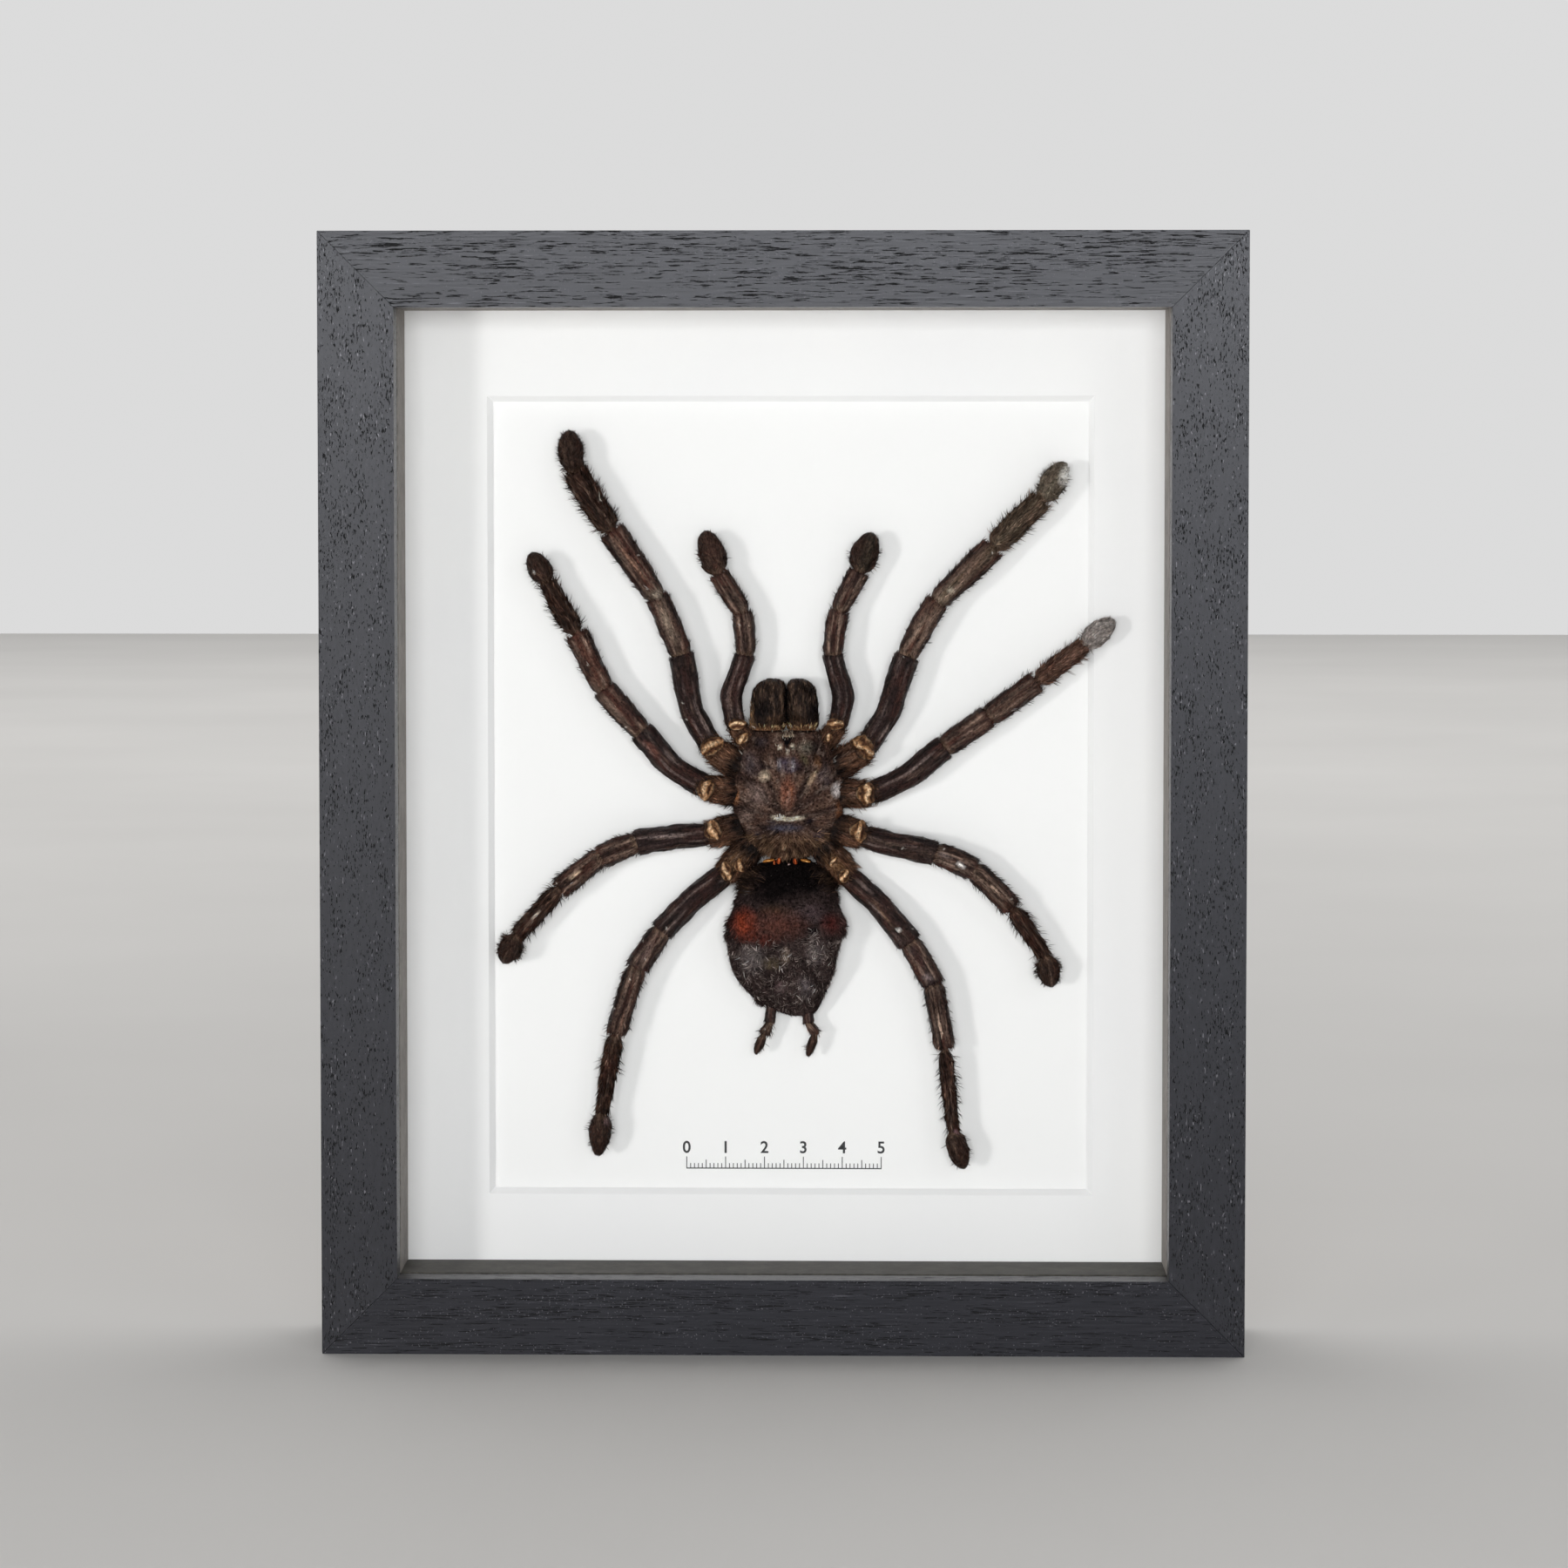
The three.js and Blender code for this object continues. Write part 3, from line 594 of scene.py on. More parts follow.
def skin_piece(name, points, triangles, tints, lay, material):
    """Makes the skin that stands for a node of the frame."""
    piece = mesh_piece(name + "_skin", placed(points), triangles, material, slot="cuticle",
                       tint=tints, lay=lay)
    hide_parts(name)


def fur_piece(name, hairs):
    """Joins batches of hairs into one piece."""
    points, triangles = gather([(p, t) for p, t, _ in hairs])
    tints = np.vstack([c for _, _, c in hairs])
    return mesh_piece(name, placed(points), triangles, bristle, slot="cuticle", tint=tints)


CARAPACE = [
    (1.4, 0, 3.4, 6.6, 2.2), (3, 0, 6.8, 7.8, 1.2), (6, 0, 10, 8.9, 0.7), (10.5, 0, 13, 9.8, 0.5),
    (15, 0.1, 14.3, 10.4, 0.5), (20, 0.1, 14.1, 10.8, 0.5), (24, 0, 13, 11, 0.6),
    (28, -0.2, 11.4, 11, 0.9), (31.5, -0.4, 9.7, 10.2, 1.4), (33.4, -0.5, 8.5, 8.6, 2.4),
]
PIT_X, PIT_Z = 0.1, 11.4
EYES_X, EYES_BACK, EYES_FRONT = -0.2, 29.2, 32.2
# The head part's half width at places along the carapace, and the furrows' aims in degrees.
HEAD_PLACES, HEAD_HALVES = [12, 16, 22, 28, 34], [0.6, 2.4, 4.6, 6.6, 8.4]
FURROW_AIMS = (48, 78, 108, 138)
# Painted ovals on the carapace: across, forwards, half width, half length, turn, edge, colour,
# amount. Most are its own marks; the grey-lilac patch left of the head and the blue-grey band below
# the pit are painted sheen, and the two pale narrow lines on the head are painted highlights.
CARAPACE_PAINT = [
    # Painted sheen on the left of the head.
    (-9.5, 25.5, 3.2, 4, 20, 0.9, (68, 60, 62), 0.9),
    (9, 22.5, 2.6, 4.5, 15, 0.9, (66, 59, 62), 0.8),
    (4.6, 29.6, 3, 2.4, 0, 0.9, (96, 90, 80), 0.8),
    (4.3, 26.6, 1, 2.2, 30, 0.9, (90, 84, 62), 0.7),
    (-6.5, 31, 2.2, 1.6, 0, 0.9, (52, 46, 50), 0.7),
    (0, 25.3, 3.6, 2.6, 0, 0.7, (58, 50, 62), 1),
    # The two pale narrow lines: painted highlights.
    (-2.1, 25.3, 0.6, 2, 0, 0.8, (126, 120, 126), 1),
    (1.4, 25.2, 0.6, 2, -4, 0.8, (126, 120, 126), 1),
    (0.1, 18.2, 2.4, 5.2, 0, 0.6, (110, 70, 56), 1),
    (1, 18, 0.55, 2.8, 0, 0.8, (134, 84, 60), 0.9),
    (-1.3, 16.5, 0.55, 2.6, 0, 0.8, (124, 86, 70), 0.8),
    (-5.8, 22.4, 1.7, 2, -30, 0.8, (176, 158, 138), 1),
    (-4.6, 24.7, 1.3, 0.7, 0, 0.7, (20, 17, 20), 1),
    (6.3, 22, 0.9, 3, -32, 0.8, (146, 124, 102), 1),
    (5, 19.3, 1, 2.2, -25, 0.9, (116, 100, 88), 0.7),
    (12.6, 18.7, 1.9, 2.5, 0, 0.8, (190, 182, 180), 1),
    (-7.6, 17.5, 3.4, 4.2, 35, 1, (118, 100, 94), 0.8),
    (-10.5, 12, 2.5, 2.5, 0, 1, (112, 94, 86), 0.7),
    # Painted sheen below the pit.
    (-0.4, 9.2, 5.4, 1.5, 0, 0.7, (54, 52, 62), 1),
    (5.6, 10.9, 2, 1, 20, 0.7, (14, 14, 22), 1),
    (-4, 10.7, 1.7, 0.7, -10, 0.7, (22, 20, 28), 0.9),
    (8, 6.8, 1.9, 1.8, 0, 0.9, (50, 48, 60), 0.9),
    (-7.6, 7, 1.6, 1.6, 0, 0.9, (42, 36, 40), 0.9),
    (0, 32.6, 2.8, 0.6, 0, 0.8, (140, 122, 104), 0.9),
    (-1.9, 29.9, 0.6, 1, -25, 0.7, (198, 188, 170), 1),
    (1.3, 29.9, 0.6, 0.9, 25, 0.7, (198, 188, 170), 1),
    (0, 28.7, 0.35, 0.9, 0, 0.7, (196, 186, 170), 0.8),
    (-13.2, 17, 1.2, 3, 0, 0.9, (150, 98, 62), 0.7),
    (13, 13.2, 1.2, 3, 0, 0.9, (122, 76, 46), 0.7),
    (7.6, 25.6, 1.6, 2.8, 20, 0.9, (104, 72, 46), 0.6),
]
# Tones of the folds and waist scales: (deep, main, pale). The deep is painted shade between the ridges
# and the pale a painted highlight on them.
RUST_TONES = ((88, 28, 14), (172, 74, 32), (214, 134, 84))
TAN_TONES = ((62, 38, 26), (150, 110, 76), (222, 192, 156))
GOLD_TONES = ((72, 40, 18), (176, 112, 50), (226, 172, 104))
BEAD_TONES = ((150, 110, 100), (150, 110, 100), (236, 226, 226))
# Scales at the waist: across, forwards, half length, half width, turn, tones.
SCALE_HEIGHT = 7.1
WAIST_SCALES = [
    (-2.1, 0.5, 0.85, 0.5, 82, RUST_TONES), (2.0, 0.4, 0.85, 0.5, 98, RUST_TONES),
    (-4.9, 0.5, 1.5, 0.42, 14, GOLD_TONES), (4.6, 0.6, 1.3, 0.4, 166, GOLD_TONES),
    (-3.3, 0.1, 0.6, 0.3, 100, RUST_TONES), (0.3, -0.4, 0.4, 0.4, 0, BEAD_TONES),
]

points, triangles = body_skin(CARAPACE, step=0.22, around=190, belt=0.38, square=1.12)
x, z = points[:, 0], points[:, 2]
upper = held((points[:, 1] - 4.5) / 2.5)
out_angle = np.arctan2(x - PIT_X, z - PIT_Z)
out_far = np.hypot(x - PIT_X, z - PIT_Z)
head_half = np.interp(z, HEAD_PLACES, HEAD_HALVES)
in_head = held((head_half - np.abs(x - 0.1)) / 1.2) * (z > 12)
groove = bell(np.abs(x - 0.1) - head_half - 0.5, 0.8) * held((z - 11) / 3)
furrow = np.zeros(len(points))
for aim in FURROW_AIMS:
    for way in (-1, 1):
        off = np.angle(np.exp(1j * (out_angle - way * math.radians(aim))))
        furrow += np.exp(-((off * out_far / 0.75) ** 2)) * held(out_far / 3 - 0.6)
rays = lumps(np.column_stack([out_angle * 9, out_far / 5, z * 0]), 1.0, 3)
combed = lumps(np.column_stack([out_angle * 24, out_far / 1.7, z * 0]), 1.0, 8)
teeth = 0.9 * (lumps(points, (0.6, 9.0, 9.0), 2) - 0.4)
crescent = PIT_Z + 0.025 * (x - PIT_X) ** 2
pit = bell(z - crescent + 0.5, 0.8) * held(1.25 - np.abs(x - PIT_X) / 3.8)
eyes = held(((z - EYES_BACK) * 0.5 - np.abs(x - EYES_X)) / 0.3) * held((EYES_FRONT - z) / 0.3)
eyes *= 1 - spot(points, EYES_X, 31.9, across=0.7, along=0.6)
points[:, 1] += upper * (
    0.55 * in_head - 0.6 * groove - 0.4 * furrow - 1.2 * pit + 0.9 * eyes
    + 0.5 * (rays - 0.5) + 0.5 * (lumps(points, 2.2, 4) - 0.5) + 0.3 * (lumps(points, 0.9, 5) - 0.5)
    + 0.3 * (combed - 0.5)
)
cloudy = lumps(points, (3.0, 3.0, 3.0), 6)
fine = lumps(points, (0.9, 2.0, 1.1), 7)
along_pit = held(1.3 - np.abs(x - PIT_X) / 3.6) * upper
brush = bell(z - crescent - 0.5 * teeth, 0.4 + 0.2 * teeth) * along_pit
skirt = held((8.0 - z) / 3)
tints = layered(all_of((64, 47, 40), len(points)), [
    ((108, 84, 72), (rays * 1.5 - 0.55) * 0.5),
    ((34, 25, 24), (1.8 * cloudy - 0.75) * 0.9),
    ((30, 24, 24), (groove + furrow) * 0.55),
    ((92, 68, 52), skirt * (0.4 + 0.6 * fine)),
])
tints = layered(paint(tints, points, CARAPACE_PAINT, 9), [
    ((136, 118, 108), (combed * 2.4 - 1.5) * upper * (z > 6) * 0.45),
    ((34, 27, 28), (0.9 - combed * 2.4) * upper * 0.6),
    # Painted shade: the carapace's lower sides, under its rim, are darkened nearly to black.
    ((24, 19, 19), held((5.6 - points[:, 1]) / 1.2) * 0.95),
    ((10, 9, 11), eyes),
    ((232, 220, 198), brush * 1.3),
])
outwards = np.column_stack([x - PIT_X, x * 0, z - PIT_Z])
rim = bell(points[:, 1] - 4.2, 1.6)
thick = 1.7 * upper * (1 - 0.6 * spot(points, 0, 20, 5.5, 11)) * (1 - skirt) * (brush < 0.2)
skirt_tints = blend(all_of((70, 52, 42), len(points)), (134, 106, 84), fine * 1.6 - 0.5)
hairs = [
    fur(points, triangles, thick + 0.6, 0.85, outwards, tints * 1.2, lift=0.25, width=0.06, seed=11),
    fur(points, triangles, 1.6 * rim, 1.1, outwards, tints * 1.1, lift=0.35, width=0.07, seed=14),
    fur(points, triangles, 15.0 * skirt * (0.35 + 0.65 * upper), 1.8 + held(np.abs(x) / 4 - 0.8),
        outwards, skirt_tints, lift=0.45, width=0.075, seed=15, stray=0.5),
    fur(points, triangles, 60.0 * (brush > 0.4), 0.9, np.column_stack([x * 0.1, x * 0, x * 0 + 1]),
        shade(228, 216, 192), lift=0.6, width=0.08, seed=12),
]
# Small tufts round the eyes and at the front edge: place and radius.
for at, reach in (((-1.9, 29.9), 0.9), ((1.6, 30.1), 0.9), ((-0.6, 32.7), 1.3), ((1.0, 32.7), 1.0)):
    hairs.append(fur(points, triangles, 8.0 * upper * spot(points, *at, reach, reach), 0.9,
                     (0, 0, 1), shade(154, 140, 124), lift=0.5, width=0.07, seed=13))
scales = [skin_fold(*scale[:5], SCALE_HEIGHT, scale[5], 70 + n)
          for n, scale in enumerate(WAIST_SCALES)]
points, triangles, tints = folded(points, triangles, tints, scales)
skin_piece("carapace", points, triangles, tints, points * 1.6, matte_hide)
fur_piece("carapace_hair", hairs)

# ---------------------------------------------------------------------------------------------
# Spider, abdomen: a soft sac that has dried a little flat and creased, velvety black at the waist
# with a rust-red band, and matted pale hair over its back.

ABDOMEN = [
    (1, 0.2, 4.4, 5.8, 2.4), (-1, 0, 7.6, 8.2, 1.2), (-3, -0.1, 10.0, 9.8, 0.7),
    (-6.5, -0.1, 11.9, 11.6, 0.4), (-10.5, -0.2, 13.1, 12.8, 0.3), (-14, -0.35, 14.6, 13.3, 0.3),
    (-17.5, -0.6, 14.9, 13.3, 0.3), (-22, -1.2, 14.1, 12.9, 0.3), (-28, -1.0, 12.8, 11.5, 0.3),
    (-33, -0.4, 10.1, 9.6, 0.5), (-36, 0.6, 7.9, 7.8, 1), (-38.2, 2.3, 4.9, 6.2, 1.7),
    (-39.4, 3.2, 2.8, 4.8, 2.5),
]
ABDOMEN_PAINT = [
    (-3, -11.5, 5, 2.4, 0, 0.9, (50, 38, 28), 0.8),
    (6, -12.2, 4.8, 3.4, 0, 0.9, (64, 52, 54), 0.8),
    (-2.5, -15.2, 9.5, 5, 0, 0.9, (76, 46, 39), 1),
    (-6.4, -19, 4.6, 2.2, 0, 1, (76, 36, 29), 0.8),
    (-10.8, -15.4, 4.2, 5.4, 0, 1, (106, 46, 31), 0.95),
    (-11.6, -15, 2.4, 3.4, 0, 1, (118, 50, 31), 0.85),
    (11.2, -15.2, 3.6, 3.6, 0, 1, (72, 32, 29), 1),
    (6.2, -16.6, 2, 1.3, 0, 0.8, (22, 18, 20), 0.9),
    (-9, -24, 4.2, 4.8, 0, 0.9, (96, 88, 88), 0.8),
    (-4, -25, 3.2, 2.2, 0, 0.9, (84, 74, 58), 0.7),
    (-0.4, -23, 1.1, 2.8, 0, 0.8, (138, 120, 106), 0.9),
    (7.2, -22.5, 3.2, 4.2, 0, 0.9, (92, 84, 84), 0.7),
    (4.6, -31.5, 2.6, 4.2, 15, 0.9, (88, 80, 82), 0.7),
    (-1.6, -31.4, 2, 2, 0, 0.9, (106, 88, 88), 0.8),
    # A painted glint on the left front.
    (-10.5, -7.2, 1.3, 0.8, 25, 0.8, (98, 92, 92), 0.8),
]
# Places of the small tufts on its rim, across and forwards.
RIM_TUFTS = [(-15, -15.2), (-14.4, -18.5), (14.4, -14.5), (14.4, -17.2), (-7.4, -35.8),
             (-13.2, -9.5), (12.6, -8.5)]
# Ovals of matted pale hair: across, forwards, half width, half length, turn, edge, amount.
PALE_MATS = [
    (-9, -24.2, 4.4, 4.6, 0, 0.5, 1), (-0.4, -23, 1.5, 3.2, 0, 0.6, 1),
    (7.2, -22.4, 3.6, 4.6, 0, 0.6, 1), (4.6, -31.6, 2.8, 4.4, 15, 0.7, 1),
    (-1.6, -31, 3, 2.6, 0, 0.7, 0.7), (7, -17, 2.2, 1.4, 0, 0.7, 1),
]

points, triangles = body_skin(ABDOMEN, step=0.25, around=200, belt=0.5, square=1.06)
x, z = points[:, 0], points[:, 2]
upper = held((points[:, 1] - 4.0) / 3.0)
creases = lumps(points, (5.0, 6.0, 1.6), 21)
points[:, 1] += upper * (0.8 * (creases - 0.5) + 0.8 * (lumps(points, 3.2, 22) - 0.5)
                         + 0.4 * (lumps(points, 1.1, 23) - 0.5))
points[:, 0] += 0.35 * (lumps(points, 2.4, 24) - 0.5)
fine = lumps(points, 0.8, 25)
cloudy = lumps(points, (3.2, 3.0, 3.2), 26)
tints = layered(all_of((42, 33, 32), len(points)), [
    ((68, 56, 54), (1.6 * cloudy - 0.6) * np.clip((x + 8) / 12, 0.2, 1)),
    ((30, 23, 23), (1.2 - 2.4 * fine) * 0.7),
])
waist = held((z + 10.6 - 0.12 * x + 4.0 * (cloudy - 0.5)) / 4.2)
waist *= np.clip(2.1 - np.abs(x - 0.4) / 6.0 + 1.2 * (fine - 0.5), 0.1, 1)
tints = blend(paint(tints, points, ABDOMEN_PAINT, 29), (9, 7, 7), waist * 0.95)
matted = held(2.4 * lumps(points, (1.4, 2.0, 2.0), 27) - 1.0)
pale = held(sum(spot(points, *oval[:6]) * oval[6] for oval in PALE_MATS)) * upper
backwards = np.column_stack([0.04 * x, x * 0, x * 0 - 1])
swirl = lumps(points, 2.6, 28) * 9
curly = np.column_stack([np.cos(swirl), x * 0, np.sin(swirl)])
shoulders = spot(points, -10.5, -3.5, 6.0, 5.0, 30) + spot(points, 10.5, -3.0, 6.0, 5.0, -30)
shoulder_tints = blend(all_of((28, 21, 19), len(points)), (72, 55, 43), fine * 1.8 - 0.8)
hairs = [
    fur(points, triangles, 4.0 + 2.5 * (1 - upper), 0.9, backwards, tints * 1.1,
        lift=0.3, width=0.07, seed=31, bent=False),
    fur(points, triangles, 8.0 * pale * matted, 1.8, curly, shade(138, 128, 124),
        lift=0.25, width=0.065, seed=32),
    fur(points, triangles, 2.0 * upper * (z < -19), 1.4, curly, shade(104, 93, 89),
        lift=0.25, width=0.065, seed=34),
    fur(points, triangles, 14.0 * shoulders, 3.0, np.column_stack([np.sign(x), x * 0, x * 0 + 0.35]),
        shoulder_tints, lift=0.35, width=0.075, seed=35, stray=0.4),
]
for tuft_x, tuft_z in RIM_TUFTS:
    near = np.exp(-(((x - tuft_x) / 1.2) ** 2) - ((z - tuft_z) / 0.9) ** 2)
    hairs.append(fur(points, triangles, 16.0 * near, 1.5, backwards, tints * 1.2,
                     lift=0.6, width=0.08, seed=33))
skin_piece("abdomen", points, triangles, tints, points * 1.6, matte_hide)
fur_piece("abdomen_hair", hairs)

# ---------------------------------------------------------------------------------------------
# Spider, chelicerae: the two big jaws side by side in front of the head, dark and closely haired
# down their length, with a row of short pale bristles where they meet the carapace.

CHELICERA = [
    (33.8, 4.3, 3.75, 7.8, 1.8), (36, 4.4, 4.1, 8.8, 1.2), (39.5, 4.25, 4.05, 9.1, 1),
    (42.0, 4.1, 3.9, 8.9, 1), (43.8, 3.95, 3.7, 8.3, 1.3), (45.1, 3.65, 3.15, 7.4, 2.0),
    (46.1, 3.4, 2.4, 6.3, 2.8), (46.7, 3.2, 1.45, 5.2, 3.6),
]
JAW_MIDDLE = -0.4
BRISTLE_GAP = 1.15

for name, way, broad, seed in (("chelicera_left", -1, 1.06, 41), ("chelicera_right", 1, 0.94, 46)):
    stations = [(z, JAW_MIDDLE + way * x * broad, half * broad, top, bottom)
                for z, x, half, top, bottom in CHELICERA]
    points, triangles = body_skin(stations, step=0.2, around=84, belt=0.5, square=1.2)
    x, z = points[:, 0], points[:, 2]
    upper = held((points[:, 1] - 5) / 2)
    points[:, 1] += upper * 0.5 * (lumps(points, (0.7, 2, 4), seed) - 0.5)
    streaky = lumps(points, (0.5, 1.0, 3.0), seed + 1)
    off = way * (x - JAW_MIDDLE)
    outer_rim = 0.8 * held((off - 8.0) / 0.4) * held((41 - z) / 4)
    tints = layered(all_of((38, 29, 25), len(points)), [
        ((88, 70, 58), (2.4 * streaky - 1.2) * 0.9 * np.clip((z - 35) / 6, 0.3, 1)),
        ((18, 14, 13), (0.9 - 2.2 * streaky) * 0.9),
        ((70, 50, 36), spot(points, JAW_MIDDLE + way * 3.0, 36.2, 2.6, 1.8, edge=0.9) * 0.6),
        # Painted shade: black low on each jaw's outer side, and along the inner edge where the two jaws
        # meet.
        ((8, 6, 7), spot(points, JAW_MIDDLE + way * 6.9, 38.4, 2.3, 3.4, edge=0.9)),
        ((8, 6, 6), held((1.0 - off) / 0.6)),
        ((118, 84, 60), held((35.0 - z) / 0.8) * 0.8 * upper),
        ((112, 86, 64), outer_rim * (way < 0)),
    ])
    comb = np.cos(x * 2 * np.pi / BRISTLE_GAP + 1.5 * lumps(points, (2.0, 9, 9), seed + 2)) > 0.55
    base = bell(z - 34.7, 0.35) * upper * comb
    hairs = [
        fur(points, triangles, 5.0, 1.5 * np.clip((47.4 - z) / 3, 0.25, 1), (0, 0, 1), tints * 1.25,
            lift=0.15, width=0.08, seed=seed + 3, stray=0.15),
        fur(points, triangles, 26.0 * base, 1.2, (0, 0, 1), shade(206, 172, 128),
            lift=0.4, width=0.075, seed=seed + 4, stray=0.2),
    ]
    skin_piece(name, points, triangles, tints, points * (2.6, 1.0, 0.5), dried_cuticle)
    fur_piece(name + "_hair", hairs)

# ---------------------------------------------------------------------------------------------
# Spider, palps and legs: jointed tubes of hard cuticle, dried and a little sunken, each segment
# a sleeve over the narrower root of the next, with a tan fold of skin at the hip, ridged
# glossy thighs and shins, and dense brush under and round the feet.

BEND_SOFTNESS = 0.25
FLATNESS = 0.88
RING_STEP = 0.38
SIDES = 36
SHARES = [0, 0.12, 0.5, 0.9]
COXA, FEMUR, PATELLA, TIBIA, METATARSUS, TARSUS = range(6)

# Segments: kind, first and last joint, and the half widths at the four shares of its length.
LEG_SEGMENTS = [
    (COXA, 0, 1, [3.1, 3.6, 3.6, 3.2]), (FEMUR, 1, 3, [2.7, 2.95, 3.05, 3.25]),
    (PATELLA, 3, 4, [2.7, 2.85, 3.0, 3.05]), (TIBIA, 4, 5, [2.55, 2.75, 2.9, 3.0]),
    (METATARSUS, 5, 6, [2.2, 2.7, 2.85, 2.55]), (TARSUS, 6, 7, [2.15, 2.55, 2.85, 2.35]),
]
PALP_SEGMENTS = [
    (COXA, 0, 1, [2.1, 2.4, 2.5, 2.4]), (FEMUR, 1, 3, [2.2, 2.5, 2.7, 2.6]),
    (PATELLA, 3, 4, [2.2, 2.4, 2.6, 2.6]), (TIBIA, 4, 5, [2.1, 2.35, 2.5, 2.6]),
    (TARSUS, 5, 6, [2.3, 2.85, 3.3, 2.6]),
]
# How much narrower each segment starts than it goes on, and over how many millimetres.
NECKS = [(0.0, 1.0), (0.1, 0.9), (0.1, 0.9), (0.2, 1.0), (0.42, 1.5), (0.42, 1.3)]
# Dents in the dried cuticle: how deep, and how close round and along the limb.
DENTS = [(0.14, (1.0, 1.0, 1.0)), (0.09, (2.2, 2.2, 2.2)), (0.09, (5.0, 5.0, 0.9))]
# Heights of the joints over the card: the dried legs reach out level and clear of it.
LEG_HEIGHTS = [4.2, 4.8, 6.2, 6.8, 6.8, 6.6, 6.4, 6.2]
PALP_HEIGHTS = [4.0, 4.8, 6.0, 6.6, 6.4, 6.0, 5.6]

LEGS = {
    "leg_left_1": (1.14, 1.0, [(-12, 24), (-19, 29), (-24.5, 39), (-27.2, 53), (-33.2, 67.5),
                          (-44.6, 84.3), (-53.9, 99.1), (-55.7, 110)]),
    "leg_left_2": (0.96, 0.86, [(-12.5, 18), (-20.5, 19), (-29.5, 24.5), (-37.2, 33.4), (-46.6, 44.2),
                          (-53.7, 58.2), (-61.1, 71.2), (-65.3, 78.8)]),
    "leg_left_3": (0.94, 0.76, [(-12, 9), (-20, 7), (-29, 6.5), (-38.5, 5), (-47.5, 1.5), (-58, -6.6),
                          (-68.9, -18.8), (-72.7, -25.8)]),
    "leg_left_4": (0.82, 0.78, [(-9, 4.5), (-16, -3), (-24.5, -9.5), (-32, -17.5), (-38.4, -26.8),
                          (-43.9, -43.9), (-47.5, -64.3), (-48.5, -75.3)]),
    "leg_right_1": (1.12, 0.97, [(11.5, 24), (19.5, 29), (25.5, 38.5), (30.2, 52.8), (37.9, 66.4),
                           (51.9, 80.2), (64, 92.3), (70.5, 101.7)]),
    "leg_right_2": (0.92, 0.86, [(12, 18), (20.5, 17.5), (31, 22.5), (39.8, 29.7), (50.9, 37.3),
                           (63.1, 46.2), (74.9, 55.4), (82.8, 62)]),
    "leg_right_3": (0.9, 0.74, [(11.5, 9), (19, 6.5), (28, 4.5), (37.5, 2.5), (47.2, -1.6),
                          (57, -11.4), (65.4, -23.8), (67.4, -31.6)]),
    "leg_right_4": (0.82, 0.66, [(8.5, 4.5), (15.5, -3.5), (23.5, -11), (31, -20.3), (36.8, -30.8),
                           (40, -47.4), (42.3, -68.8), (45, -78.3)]),
}
PALPS = {
    "palp_left": [(-8, 28), (-13, 34.5), (-14.5, 42.5), (-11, 53), (-11.5, 63.5), (-17.5, 73.5),
                  (-21.2, 84.4)],
    "palp_right": [(7.5, 28), (12.5, 34.5), (14, 42.5), (11.5, 53), (13, 64), (18, 74), (21.4, 84)],
}
# The tan folds of skin at each hip: across, forwards, half length, half width, turn in degrees.
FOLD_HEIGHT = 8.0
FOLDS = {
    "palp_left": [(-12.8, 35.3, 2.3, 1.2, 8), (-11.3, 31.8, 1.8, 1.3, 55)],
    "palp_right": [(12.2, 35.3, 2.2, 1.3, -4), (10.6, 32, 1.3, 1, 80)],
    "leg_left_1": [(-19.2, 29.4, 3.4, 2.1, 33)],
    "leg_left_2": [(-20.5, 18.6, 2.8, 2.1, 68)],
    "leg_left_3": [(-18.7, 8.3, 2.8, 1.9, 106)],
    "leg_left_4": [(-15.3, -1.9, 2.6, 1.5, 110), (-11.9, -0.6, 1.8, 1.2, 100)],
    "leg_right_1": [(18.9, 29.4, 3.6, 2.2, -42)],
    "leg_right_2": [(20.4, 17.9, 2.8, 2.2, 100)],
    "leg_right_3": [(18.4, 8.2, 2.6, 2, 85)],
    "leg_right_4": [(14.6, -3.2, 1.9, 1.2, 70), (11.6, 0.4, 1.4, 0.9, 60)],
}
